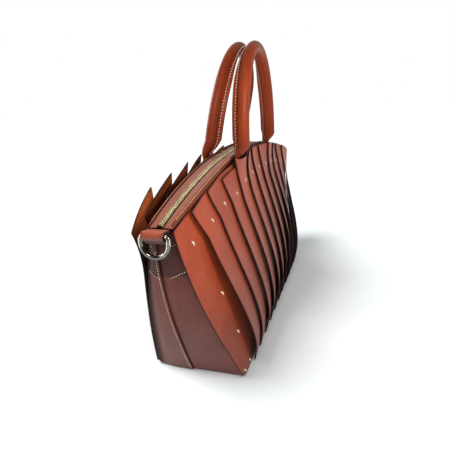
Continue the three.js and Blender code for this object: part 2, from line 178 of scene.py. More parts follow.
@dataclass
class Shell:
    """A mesh in the making.

    Attributes:
        points: One row of millimetres for each corner.
        faces: Arrays of corner numbers, each with faces of one corner count.
        layers: Material layer of each array of faces.
        run: UV map by corner, in millimetres, or None for a piece without cut edges.
    """

    points: Array
    faces: list[Array]
    layers: list[int]
    run: Array | None = None

    def volume(self) -> float:
        """Sums the triple products of each face's fan of triangles.

        Returns:
            A sixth of the sum, which is the volume, below 0 where the faces point inwards.
        """
        total = 0.0
        for group in self.faces:
            fan = self.points[group]
            for corner in range(1, group.shape[1] - 1):
                total += np.einsum("ij,ij->", fan[:, 0], np.cross(fan[:, corner], fan[:, corner + 1]))
        return total / 6.0

    def facing_out(self) -> "Shell":
        """Turns the faces outwards.

        Returns:
            This shell, or a turned one with the same points.
        """
        if self.volume() >= 0.0:
            return self
        return Shell(self.points, [group[:, ::-1] for group in self.faces], self.layers, self.run)

    def mapped(self) -> Array:
        """UV map by corner, filled in where the shell has none."""
        return np.tile([0.0, CLEAR_OF_EDGE], (len(self.points), 1)) if self.run is None else self.run


def joined(shells: Sequence[Shell]) -> Shell:
    """Puts several shells into one.

    Args:
        shells: The shells, which keep their order.

    Returns:
        One shell with all their points and faces.
    """
    starts = np.cumsum([0] + [len(shell.points) for shell in shells])
    return Shell(
        np.concatenate([shell.points for shell in shells]),
        [group + start for shell, start in zip(shells, starts) for group in shell.faces],
        [layer for shell in shells for layer in shell.layers],
        np.concatenate([shell.mapped() for shell in shells]),
    )


def quads(index: Array) -> Array:
    """Four-cornered faces between neighbouring rows and columns of a grid of corner numbers."""
    corners = [index[:-1, :-1], index[:-1, 1:], index[1:, 1:], index[1:, :-1]]
    return np.stack(corners, axis=-1).reshape(-1, 4)


def edge_run(grid: Array) -> Array:
    """UV map of a leaf: length up each column, and distance from the nearest cut edge.

    Args:
        grid: Points of one face by row and column.

    Returns:
        One pair of millimetres for each point.
    """
    steps = [np.linalg.norm(np.diff(grid, axis=axis), axis=-1) for axis in (0, 1)]
    up, across = (np.insert(np.cumsum(step, axis=axis), 0, 0.0, axis=axis)
                  for axis, step in enumerate(steps))
    nearest = np.minimum.reduce([up, up[-1:] - up, across, across[:, -1:] - across])
    return np.stack([up, nearest], axis=-1).reshape(-1, 2)


def leaf(outer: Array, inner: Array, run: Array | None = None) -> Shell:
    """Closed sheet between two grids of points, its cut edge in material layer 1 and its inner face in 2.

    Args:
        outer: Points of the outer face by row and column.
        inner: Points of the inner face, laid out alike.
        run: UV map of one face, when it isn't the distance from the edge.

    Returns:
        The closed shell, facing out.
    """
    rows, columns = outer.shape[:2]
    count = rows * columns
    index = np.arange(count).reshape(rows, columns)
    face = quads(index)
    rim = np.concatenate([index[0], index[1:, -1], index[-1, -2::-1], index[-2:0:-1, 0]])
    ahead = np.roll(rim, -1)
    edge = np.stack([ahead, rim, rim + count, ahead + count], axis=1)
    corners = np.concatenate([outer.reshape(-1, 3), inner.reshape(-1, 3)])
    one = edge_run(outer) if run is None else run
    faces = [face, face[:, ::-1] + count, edge]
    return Shell(corners, faces, [0, 2, 1], np.concatenate([one, one])).facing_out()


def tube(rings: Array, closed: bool = False) -> Shell:
    """Closed skin over rings of points, with flat ends unless the last ring meets the first.

    Args:
        rings: Points by ring and by place round the ring.
        closed: Whether the tube runs back into its own start.

    Returns:
        The shell, facing out, with its length along the tube in the UV map.
    """
    count, sides = rings.shape[:2]
    index = np.arange(count * sides).reshape(count, sides)
    looped = np.concatenate([index, index[:, :1]], axis=1)
    if closed:
        looped = np.concatenate([looped, looped[:1]])
    faces, layers = [quads(looped)], [0]
    if not closed:
        faces += [index[:1, ::-1], index[-1:]]
        layers += [0, 0]
    reach = reach_along(rings.mean(axis=1))[:, None]
    run = np.stack(np.broadcast_arrays(reach, np.full((1, sides), CLEAR_OF_EDGE)), axis=-1)
    return Shell(rings.reshape(-1, 3), faces, layers, run.reshape(-1, 2)).facing_out()


def scattered(template: Shell, origins: Array, axes: Array) -> Shell:
    """Copies of one small shell, each placed and turned by its own three axes.

    Args:
        template: Shell drawn about its own origin.
        origins: One point for each copy.
        axes: Three rows of directions for each copy, for the template's x, y and z.

    Returns:
        One shell of all copies.
    """
    placed = origins[:, None, :] + np.einsum("pj,kji->kpi", template.points, axes)
    starts = np.arange(len(origins))[:, None, None] * len(template.points)
    faces = [(group[None] + starts).reshape(-1, group.shape[1]) for group in template.faces]
    return Shell(placed.reshape(-1, 3), faces, list(template.layers))


def make_object(name: str, shell: Shell, materials: Sequence[bpy.types.Material]) -> bpy.types.Object:
    """Blender object of a shell, smooth and at the origin.

    Args:
        name: Name of the piece.
        shell: What it is made of.
        materials: One material for each layer of the shell; a layer past the last takes the first.

    Returns:
        The linked object.
    """
    corners = np.concatenate([group.ravel() for group in shell.faces])
    counts = np.concatenate([np.full(len(group), group.shape[1]) for group in shell.faces])
    layers = np.repeat(shell.layers, [len(group) for group in shell.faces])
    mesh = bpy.data.meshes.new(name)
    mesh.vertices.add(len(shell.points))
    mesh.vertices.foreach_set("co", (shell.points * MM).ravel())
    mesh.loops.add(len(corners))
    mesh.loops.foreach_set("vertex_index", corners)
    mesh.polygons.add(len(counts))
    mesh.polygons.foreach_set("loop_start", np.concatenate([[0], np.cumsum(counts)[:-1]]))
    mesh.polygons.foreach_set("material_index", np.where(layers < len(materials), layers, 0))
    mesh.polygons.foreach_set("use_smooth", np.ones(len(counts), bool))
    mesh.uv_layers.new(name=RUN_MAP).uv.foreach_set("vector", shell.mapped()[corners].ravel())
    mesh.update(calc_edges=True)
    mesh.validate()
    for material in materials:
        mesh.materials.append(material)
    made = bpy.data.objects.new(name, mesh)
    bpy.context.scene.collection.objects.link(made)
    return made


def round_edges(piece: bpy.types.Object, width: float) -> None:
    """Rounds the sharp edges of a piece.

    Args:
        piece: The piece.
        width: Width of the rounding.
    """
    bevel = piece.modifiers.new("rounded_edges", "BEVEL")
    bevel.width = width * MM
    bevel.segments = 2
    bevel.limit_method = "ANGLE"
    bevel.angle_limit = np.radians(50.0)


# Finishes


class Value:
    """A socket that takes arithmetic: each operator adds one Math node to its graph."""

    def __init__(self, graph: "Graph", socket: bpy.types.NodeSocket) -> None:
        """Wraps an output socket of a graph."""
        self.graph = graph
        self.socket = socket

    def _math(self, operation: str, first: Any, second: Any) -> "Value":
        """Adds a Math node for two values."""
        return self.graph.node("ShaderNodeMath", {"operation": operation}, {0: first, 1: second})

    def __add__(self, other: "Value | float") -> "Value":
        """Sum."""
        return self._math("ADD", self, other)

    __radd__ = __add__

    def __sub__(self, other: "Value | float") -> "Value":
        """Difference."""
        return self._math("SUBTRACT", self, other)

    def __rsub__(self, other: float) -> "Value":
        """Difference from a number."""
        return self._math("SUBTRACT", other, self)

    def __mul__(self, other: "Value | float") -> "Value":
        """Product."""
        return self._math("MULTIPLY", self, other)

    __rmul__ = __mul__


class Graph:
    """Node tree of one material, or of the world."""

    def __init__(self, name: str, shelf: str = "materials") -> None:
        """Makes an empty material, or another kind of data with nodes.

        Args:
            name: Its name.
            shelf: Blender's list that it goes into.
        """
        self.made = getattr(bpy.data, shelf).new(name)
        self.made.use_nodes = True
        self.tree = self.made.node_tree
        self.tree.nodes.clear()

    def node(self, kind: str, settings: dict[str, Any], sockets: dict[Any, Any],
             output: int | str = 0) -> Value:
        """Adds a node.

        Args:
            kind: Blender's type of the node.
            settings: Its properties, set first.
            sockets: Numbers, colours or links of its inputs, by index or name.
            output: Which of its outputs is meant.

        Returns:
            That output, or the first input of a node that has none.
        """
        made = self.tree.nodes.new(kind)
        for key, setting in settings.items():
            setattr(made, key, setting)
        for key, value in sockets.items():
            if isinstance(value, Value):
                self.tree.links.new(value.socket, made.inputs[key])
            elif isinstance(value, tuple) and made.inputs[key].type == "RGBA":
                made.inputs[key].default_value = (*value, 1.0)
            else:
                made.inputs[key].default_value = value
        return Value(self, made.outputs[output] if made.outputs else made.inputs[0])

    def place(self, stretch: Point = (1.0, 1.0, 1.0)) -> Value:
        """Object coordinates, stretched by a Mapping node."""
        where = self.node("ShaderNodeTexCoord", {}, {}, "Object")
        return self.node("ShaderNodeMapping", {}, {"Vector": where, "Scale": stretch})

    def run(self) -> tuple[Value, Value]:
        """The piece's own UV map, as its two values in millimetres."""
        where = self.node("ShaderNodeUVMap", {"uv_map": RUN_MAP}, {})
        return tuple(self.node("ShaderNodeSeparateXYZ", {}, {0: where}, axis) for axis in (0, 1))

    def noise(self, where: Value, size: float, detail: float = 3.0, roughness: float = 0.55) -> Value:
        """Soft noise about 0, from -0.5 to 0.5, with features of a size in millimetres."""
        sockets = {"Vector": where, "Scale": 1.0 / (size * MM), "Detail": detail, "Roughness": roughness}
        return self.node("ShaderNodeTexNoise", {"noise_dimensions": "3D"}, sockets) - 0.5

    def cells(self, where: Value, size: float) -> Value:
        """Rounded cells of a size in millimetres: 0 in the middle of a cell, about 1 between cells."""
        sockets = {"Vector": where, "Scale": 1.0 / (size * MM), "Smoothness": 0.35}
        return self.node("ShaderNodeTexVoronoi", {"feature": "SMOOTH_F1"}, sockets)

    def level(self, value: Value, low: float, high: float) -> Value:
        """A value taken from low..high to 0..1, smooth and kept inside."""
        sockets = {"Value": value, "From Min": low, "From Max": high}
        return self.node("ShaderNodeMapRange", {"interpolation_type": "SMOOTHSTEP"}, sockets)

    def wave(self, value: Value, pitch: float) -> Value:
        """Sine of a value with the given pitch, from -1 to 1."""
        return self.node("ShaderNodeMath", {"operation": "SINE"}, {0: value * (2.0 * np.pi / pitch)})

    def mix(self, share: Value | float, first: Any, second: Any) -> Value:
        """Mixes two colours."""
        settings = {"data_type": "RGBA", "clamp_factor": True}
        return self.node("ShaderNodeMix", settings, {0: share, 6: first, 7: second}, 2)

    def bump(self, height: Value, depth: float, strength: float) -> Value:
        """Normal of a relief whose height 1 is a depth in millimetres."""
        sockets = {"Strength": strength, "Distance": depth * MM, "Height": height}
        return self.node("ShaderNodeBump", {}, sockets)


@dataclass(frozen=True)
class Finish:
    """A surface that varies between two tones.

    Attributes:
        name: Name of the material.
        deep: Its darker colour.
        light: Its lighter colour.
    """

    name: str
    deep: Colour
    light: Colour

    def sockets(self, graph: Graph) -> dict[str, Any]:
        """Values and links of the shader's sockets, which each kind of finish works out for itself."""
        raise NotImplementedError

    @cached_property
    def material(self) -> bpy.types.Material:
        """Makes the material: a Principled shader with the finish's own sockets.

        Returns:
            The same material each time.
        """
        graph = Graph(self.name)
        shader = graph.node("ShaderNodeBsdfPrincipled", {}, self.sockets(graph))
        graph.node("ShaderNodeOutputMaterial", {}, {"Surface": shader})
        return graph.made


@dataclass(frozen=True)
class Leather(Finish):
    """Smooth dyed hide: cloudy dye, fine pores and creases, burnished darker towards its cut edges; a wide
    edge band and a darkening towards the ground are painted shade.

    Attributes:
        burnt: Colour towards a cut edge, which is painted shade where the band is wide.
        gloss: Mean roughness.
        coat: Weight of the clear top coat.
        pore: Size of the pores.
        relief: Depth of the pores.
        burnish: Width of the burnished edge; a wide one is painted shade.
        burn: How far the edge takes the burnt colour.
        dull: How much rougher the edge is, below 0 for glossier.
        shine: Strength of the mirror reflection.
        bloom: Strength of the pale bloom seen along the surface.
        foot: Colour of the painted shade towards the ground.
        sink: How far that painted shade goes.
        sink_span: Heights in millimetres between which the painted shade fades in.
        patch_from: Height in the run map where a darker patch begins.
    """

    burnt: Colour
    gloss: float = 0.42
    coat: float = 0.03
    pore: float = 0.75
    relief: float = 0.035
    burnish: float = 2.2
    burn: float = 0.55
    dull: float = -0.06
    shine: float = 0.24
    bloom: float = 0.1
    foot: Colour = (0.12, 0.03, 0.02)
    sink: float = 0.0
    sink_span: Span = (10.0, 150.0)
    patch_from: float = 1000.0

    def sockets(self, graph: Graph) -> dict[str, Any]:
        """Cloud, streak and speckle set the dye; painted shade darkens it low down and along a wide edge
        band; pores and creases set the relief and the gloss.

        Args:
            graph: Graph of the material.

        Returns:
            Values and links of the shader's sockets.
        """
        here = graph.place()
        along, from_edge = graph.run()
        cloud = graph.noise(here, 38.0, 4.0)
        streak = graph.noise(graph.place((1.0, 1.0, 0.22)), 9.0, 3.0)
        speckle = graph.noise(here, 1.6, 2.0)
        pores = graph.cells(here, self.pore)
        creases = graph.noise(here, 2.6, 5.0, 0.7)
        dye = graph.level(cloud * 1.1 + streak * 0.5 + speckle * 0.35, -0.42, 0.42)
        # Painted shade: below a height the colour sinks towards foot, standing in for the dimmer light low
        # down.
        height = graph.node("ShaderNodeSeparateXYZ", {}, {0: here}, "Z")
        low, high = self.sink_span
        painted_ground_shade = (1.0 - graph.level(height, low * MM, high * MM)) * self.sink
        colour = graph.mix(painted_ground_shade, graph.mix(dye, self.deep, self.light), self.foot)
        patch = graph.level(along, self.patch_from, self.patch_from + 1.5) * 0.6
        patched = graph.mix(patch, colour, self.burnt)
        pitted = graph.mix(graph.level(pores, 0.5, 0.95) * 0.22, patched, self.burnt)
        # Darker towards a cut edge: burnishing, and painted shade where the band is wide, as on the dark
        # hide.
        edge = 1.0 - graph.level(from_edge + speckle * 1.2, 0.0, self.burnish)
        return {
            "Base Color": graph.mix(edge * self.burn, pitted, self.burnt),
            "Roughness": self.gloss + cloud * 0.12 + pores * 0.08 + speckle * 0.06 + edge * self.dull,
            "Normal": graph.bump(1.0 - pores * 0.8 + creases * 0.9, self.relief, 0.8),
            "Coat Weight": self.coat,
            "Coat Roughness": 0.28,
            "IOR": 1.48,
            "Specular IOR Level": self.shine,
            "Sheen Weight": self.bloom,
            "Sheen Roughness": 0.3,
            "Sheen Tint": (1.0, 0.86, 0.84),
        }


@dataclass(frozen=True)
class EdgePaint(Finish):
    """Painted and rubbed cut edge: dark, uneven and a little glossy."""

    def sockets(self, graph: Graph) -> dict[str, Any]:
        """Long uneven strokes in colour and gloss, with a faint ripple.

        Args:
            graph: Graph of the material.

        Returns:
            Values and links of the shader's sockets.
        """
        strokes = graph.noise(graph.place((1.0, 1.0, 0.3)), 2.4, 4.0)
        return {
            "Base Color": graph.mix(graph.level(strokes, -0.2, 0.3), self.deep, self.light),
            "Roughness": 0.5 + strokes * 0.25,
            "Specular IOR Level": 0.12,
            "Normal": graph.bump(strokes, 0.06, 0.7),
        }


@dataclass(frozen=True)
class Thread(Finish):
    """Waxed linen thread: twisted plies and soft soiling."""

    def sockets(self, graph: Graph) -> dict[str, Any]:
        """Fine plies and a slow change of tone from stitch to stitch.

        Args:
            graph: Graph of the material.

        Returns:
            Values and links of the shader's sockets.
        """
        here = graph.place()
        plies = graph.noise(here, 0.25, 2.0)
        tone = graph.noise(here, 6.0, 2.0)
        return {
            "Base Color": graph.mix(graph.level(plies * 0.6 + tone, -0.3, 0.3), self.deep, self.light),
            "Roughness": 0.55 + plies * 0.3,
            "Normal": graph.bump(plies, 0.08, 0.8),
            "Sheen Weight": 0.25,
        }


@dataclass(frozen=True)
class Tape(Finish):
    """Woven zip tape: ribs along its length and fine weft across them.

    Attributes:
        rib: Pitch of the ribs.
        weft: Pitch of the weft.
    """

    rib: float = 1.15
    weft: float = 0.5

    def sockets(self, graph: Graph) -> dict[str, Any]:
        """The sine of the distance across gives ribs, that of the length gives weft, and noise gives fuzz.

        Args:
            graph: Graph of the material.

        Returns:
            Values and links of the shader's sockets.
        """
        along, across = graph.run()
        here = graph.place()
        fuzz = graph.noise(here, 0.5, 3.0)
        cloud = graph.noise(here, 14.0, 3.0)
        ribs = graph.wave(across, self.rib)
        weave = ribs * 0.32 + graph.wave(along, self.weft) * (0.5 - ribs * 0.3) * 0.3
        worn = graph.level(weave + fuzz * 0.5 + cloud * 0.5, -0.55, 0.5)
        return {
            "Base Color": graph.mix(worn, self.deep, self.light),
            "Roughness": 0.68 + fuzz * 0.3,
            "Normal": graph.bump(weave + fuzz * 0.4, 0.16, 0.9),
            "Sheen Weight": 0.35,
            "Sheen Roughness": 0.4,
        }


@dataclass(frozen=True)
class Metal(Finish):
    """Plated metal: clouded tone, fine brushing and rubbed gloss.

    Attributes:
        gloss: Mean roughness.
    """

    gloss: float

    def sockets(self, graph: Graph) -> dict[str, Any]:
        """Cloud mixes two tones, cloud and hairlines change the gloss, and hairlines give relief.

        Args:
            graph: Graph of the material.

        Returns:
            Values and links of the shader's sockets.
        """
        cloud = graph.noise(graph.place(), 5.0, 4.0)
        hairs = graph.noise(graph.place((1.0, 6.0, 6.0)), 1.4, 3.0)
        return {
            "Base Color": graph.mix(graph.level(cloud, -0.25, 0.25), self.deep, self.light),
            "Metallic": 1.0,
            "Roughness": self.gloss * (1.0 + cloud * 1.4 + hairs * 0.8),
            "Normal": graph.bump(hairs, 0.012, 0.6),
        }


@dataclass(frozen=True)
class FloorPaint(Finish):
    """Plain pale floor with a faint cloud."""

    def sockets(self, graph: Graph) -> dict[str, Any]:
        """A wide soft noise mixes the two tones.

        Args:
            graph: Graph of the material.

        Returns:
            Values and links of the shader's sockets.
        """
        cloud = graph.level(graph.noise(graph.place(), 60.0, 3.0), -0.5, 0.5)
        colour = graph.mix(cloud, self.deep, self.light)
        return {"Base Color": colour, "Roughness": 0.85, "Specular IOR Level": 0.1}


# Its sink is painted shade: darker and more maroon towards the ground.
TAN = Leather("tan_hide", (0.32, 0.04, 0.011), (0.51, 0.08, 0.023), (0.09, 0.015, 0.008),
              shine=0.16, sink=0.6)
# Its sink is painted shade: near black below the top of the inner face.
FLESH = Leather("flesh_side", (0.2, 0.036, 0.007), (0.31, 0.07, 0.014), (0.08, 0.016, 0.006),
                gloss=0.66, pore=0.5, relief=0.06, shine=0.08, bloom=0.06,
                foot=(0.012, 0.006, 0.005), sink=0.95, sink_span=(118.0, 152.0))
HANDLE_HIDE = Leather("handle_hide", (0.2, 0.026, 0.006), (0.34, 0.05, 0.012), (0.085, 0.012, 0.005),
                      gloss=0.36, pore=0.6, shine=0.15, bloom=0.0)
# A darker copy of the hide for the plackets: painted shade, standing in for the dimmer light on them.
PLACKET_HIDE_SHADED = Leather("placket_hide", (0.18, 0.026, 0.008), (0.3, 0.05, 0.016), (0.12, 0.02, 0.008),
                       gloss=0.4, bloom=0.04)
# Its wide, near-black edge band is painted shade, along the gusset's back edge and the other cut edges.
DARK = Leather("dark_hide", (0.1, 0.021, 0.014), (0.175, 0.042, 0.028), (0.014, 0.005, 0.004),
               relief=0.05, burnish=8.0, burn=0.95, dull=0.45, bloom=0.04, patch_from=114.0)
# The tab's lighter tone is partly its own and partly a painted highlight on its top; its sink is painted
# shade on its underside.
TAB_HIDE_LIT_AND_SHADED = Leather("tab_hide", (0.44, 0.075, 0.03), (0.64, 0.14, 0.06), (0.12, 0.02, 0.01),
                   gloss=0.27, shine=0.6, foot=(0.03, 0.012, 0.01), sink=0.9, sink_span=(146.0, 153.5))
EDGE = EdgePaint("edge_paint", (0.016, 0.006, 0.006), (0.05, 0.02, 0.02))
CREAM = Thread("cream_thread", (0.62, 0.48, 0.32), (0.95, 0.85, 0.66))
GOLD = Thread("golden_thread", (0.55, 0.27, 0.08), (0.88, 0.52, 0.2))
TAPE = Tape("zip_tape", (0.3, 0.073, 0.041), (0.52, 0.145, 0.086))
BRASS = Metal("pale_brass", (0.42, 0.33, 0.17), (0.66, 0.56, 0.33), 0.4)
NICKEL = Metal("polished_nickel", (0.15, 0.143, 0.12), (0.24, 0.23, 0.195), 0.1)
PALE = FloorPaint("pale_floor", (0.77, 0.81, 0.815), (0.8, 0.84, 0.845))


def add_piece(name: str, shell: Shell, finishes: Sequence[Finish], nodes: Sequence[str] = (),
              body: str = BAG, edge: float = 0.0) -> bpy.types.Object:
    """Makes a piece, rounds its edges, puts it on its body and reports it.

    Args:
        name: Name of the piece.
        shell: What it is made of, in its place.
        finishes: One finish for each layer of the shell.
        nodes: Nodes of the frame that it replaces.
        body: Body that carries it.
        edge: Width of the rounding, or 0 for none.

    Returns:
        The piece.
    """
    piece = make_object(name, shell, [finish.material for finish in finishes])
    if edge:
        round_edges(piece, edge)
    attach(piece, body)
    if nodes:
        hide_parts(*nodes)
    log.info("%s: %d faces on %s", piece.name, len(piece.data.polygons), body)
    return piece


# Thread


@dataclass(frozen=True)
class Stitching:
    """Running stitches, each a short roll of thread whose ends dip into the leather.

    Attributes:
        pitch: Distance from one stitch to the next.
        length: Length of a stitch.
        thickness: Thickness of the thread at its middle.
        sink: How far its ends dip under its middle.
        bend: How far its middle stands aside.
        rings: Sections along a stitch.
        sides: Sides of a section.
    """

    pitch: float = 3.1
    length: float = 2.35
    thickness: float = 0.62
    sink: float = 0.28
    bend: float = 0.0
    rings: int = 6
    sides: int = 6

    def roll(self) -> Shell:
        """One stitch along x: a round section that thins to its ends, on a parabola that sinks at both ends.

        Returns:
            A small closed shell about the origin.
        """
        s = np.linspace(-1.0, 1.0, self.rings)[:, None]
        turn = full_turn(self.sides)
        radius = 0.5 * self.thickness * np.sqrt(np.maximum(0.06, 1.0 - s**4))
        return tube(points(0.5 * self.length * s,
                           self.bend * (1.0 - s * s) + radius * np.cos(turn),
                           radius * np.sin(turn) - self.sink * s * s))

    def along(self, path: Array, normals: Array) -> Shell:
        """Stitches laid end to end along a path.

        Args:
            path: Corners of the path.
            normals: Direction off the leather at each corner.

        Returns:
            One shell of all stitches.
        """
        total = path_length(path)
        count = max(1, int(total / self.pitch))
        middle = (np.arange(count) + 0.5) * total / count
        step = 0.4  # how far either way the path is read for its direction
        ahead = unit(along_path(path, middle + step) - along_path(path, middle - step))
        aside = unit(np.cross(along_path(path, middle, normals), ahead))
        up = np.cross(ahead, aside)
        origins = along_path(path, middle) + up * 0.25 * self.thickness
        return scattered(self.roll(), origins, np.stack([ahead, aside, up], axis=1))


# Body of the bag


@dataclass(frozen=True)
class Body:
    """Outline of the bag: a base that widens upwards, leaning walls with a soft belly, and an arched top.

    Attributes:
        end_curve: Slope of the ends at the base, as a share of their whole flare.
        end_drop: How much lower the top edge is at its ends.
        top_fullness: Extra half depth along the middle of the top edge.
        mid_fullness: Extra half depth of the belly.
        end_bulge: How far an end stands out along its middle line.
        corner_rise: Height in t by which a foot is cut round at a corner.
        corner_power: How suddenly that cut begins.
    """

    base_half_length: float = 148.5
    top_half_length: float = 200.0
    end_curve: float = 1.5
    crown_height: float = 180.0
    end_drop: float = 29.0
    base_half_depth: float = 40.8
    top_half_depth: float = 8.5
    top_fullness: float = 2.5
    mid_fullness: float = 8.5
    end_bulge: float = 6.0
    wall: float = 1.5
    seam_gap: float = 0.35
    base_thickness: float = 2.2
    base_inset: float = 2.4
    corner_rise: float = 0.026
    corner_power: int = 14

    def half_length(self, t: Array | float) -> Array:
        """Half length at height t: a cubic that flares from the base and stands steep at the top."""
        share = self.end_curve * t - (self.end_curve - 1.0) * t**3
        return lerp(self.base_half_length, self.top_half_length, share)

    def top_height(self, w: Array | float) -> Array:
        """Height of the top edge: a parabola, highest in the middle."""
        return self.crown_height - self.end_drop * np.square(w)

    @staticmethod
    def swell(t: Array | float) -> Array:
        """Belly up the wall: a cubic that is 0 at base and top, and 1 at a third of the height."""
        return 27.0 / 4.0 * t * np.maximum(0.0, 1.0 - t) ** 2

    def half_depth(self, w: Array | float, t: Array | float) -> Array:
        """Half depth of a wall: a straight lean plus a fullness that fades to both ends.

        Args:
            w: Place along the wall.
            t: Height on it.

        Returns:
            The half depth at each place.
        """
        lean = lerp(self.base_half_depth, self.top_half_depth, t)
        fullness = self.top_fullness * t + self.mid_fullness * self.swell(t)
        return lean + fullness * np.maximum(0.0, 1.0 - np.asarray(w) ** 4)

    def on_wall(self, w: Array, t: Array, offset: Array | float, side: Side) -> Array:
        """Points off a wall: its outline at w and t, moved out along Y.

        Args:
            w: Place along the wall.
            t: Height on it.
            offset: Distance outwards.
            side: Face of the bag.

        Returns:
            The points.
        """
        sign = side.value
        return points(-sign * w * self.half_length(t), sign * (self.half_depth(w, t) + offset),
                      t * self.top_height(w))

    def foot_round(self, share: Array) -> Array:
        """Height in t by which a foot is cut: a high power of the share of the way to a corner."""
        return self.corner_rise * np.abs(share) ** self.corner_power

    def over_zip(self, x: Array, y: Array | float, height: Array | float) -> Array:
        """Points at x and y, by a height over the top edge."""
        return points(x, y, self.top_height(x / self.top_half_length) + height)


@dataclass
class Walls:
    """Base and the two plain leather walls that carry the slats.

    Attributes:
        foot: Height in t where a wall begins.
        top: Height in t where it ends.
        corner: Radius of the base's corners.
    """

    body: Body
    columns: int = 64
    rows: int = 24
    base_rows: int = 12
    foot: float = 0.004
    top: float = 0.994
    corner: float = 9.0
    base_edge: float = 0.5

    def panel(self, side: Side) -> Shell:
        """A wall: the body's outline at two offsets, held in behind the ends.

        Args:
            side: Face of the bag.

        Returns:
            The closed sheet.
        """
        body = self.body
        along = np.linspace(-1.0, 1.0, self.columns + 1)[None, :]
        up = np.linspace(0.0, 1.0, self.rows + 1)[:, None]
        t = lerp(self.foot + body.foot_round(along), self.top, up)
        w = along * (1.0 - (body.wall + body.seam_gap) / body.half_length(t))
        return leaf(body.on_wall(w, t, 0.0, side), body.on_wall(w, t, -body.wall, side))

    def base(self) -> Shell:
        """The base: a flat board whose long sides run out to round corners by a quarter circle.

        Returns:
            The closed board.
        """
        half_long = self.body.base_half_length - self.body.base_inset
        half_deep = self.body.base_half_depth - self.body.base_inset
        x = np.sin(np.linspace(-0.5, 0.5, self.columns + 1) * np.pi)[None, :] * half_long
        into_corner = np.maximum(0.0, np.abs(x) - (half_long - self.corner)) / self.corner
        cut = self.corner * (1.0 - np.sqrt(np.maximum(0.0, 1.0 - into_corner**2)))
        y = np.linspace(-1.0, 1.0, self.base_rows + 1)[:, None] * (half_deep - cut)
        return leaf(points(x, y, self.body.base_thickness), points(x, y, 0.0))

    def build(self) -> None:
        """Makes the base and both walls."""
        for side in Side:
            name = side.label
            add_piece(f"{name}_wall", self.panel(side), [DARK, EDGE], [f"{name}_panel"])
        add_piece("base_board", self.base(), [DARK, EDGE], ["base_panel"], edge=self.base_edge)


@dataclass(frozen=True)
class CrossSeam:
    """A row of stitches across one half of an end.

    Attributes:
        side: The half.
        start: Where the row starts, from 0 on the middle line to 1 at the wall.
        stop: Where it stops.
        height: Height in t of its line where that meets the middle line.
        slope: Rise in t from there to the wall.
    """

    side: Side
    start: float
    stop: float
    height: float
    slope: float


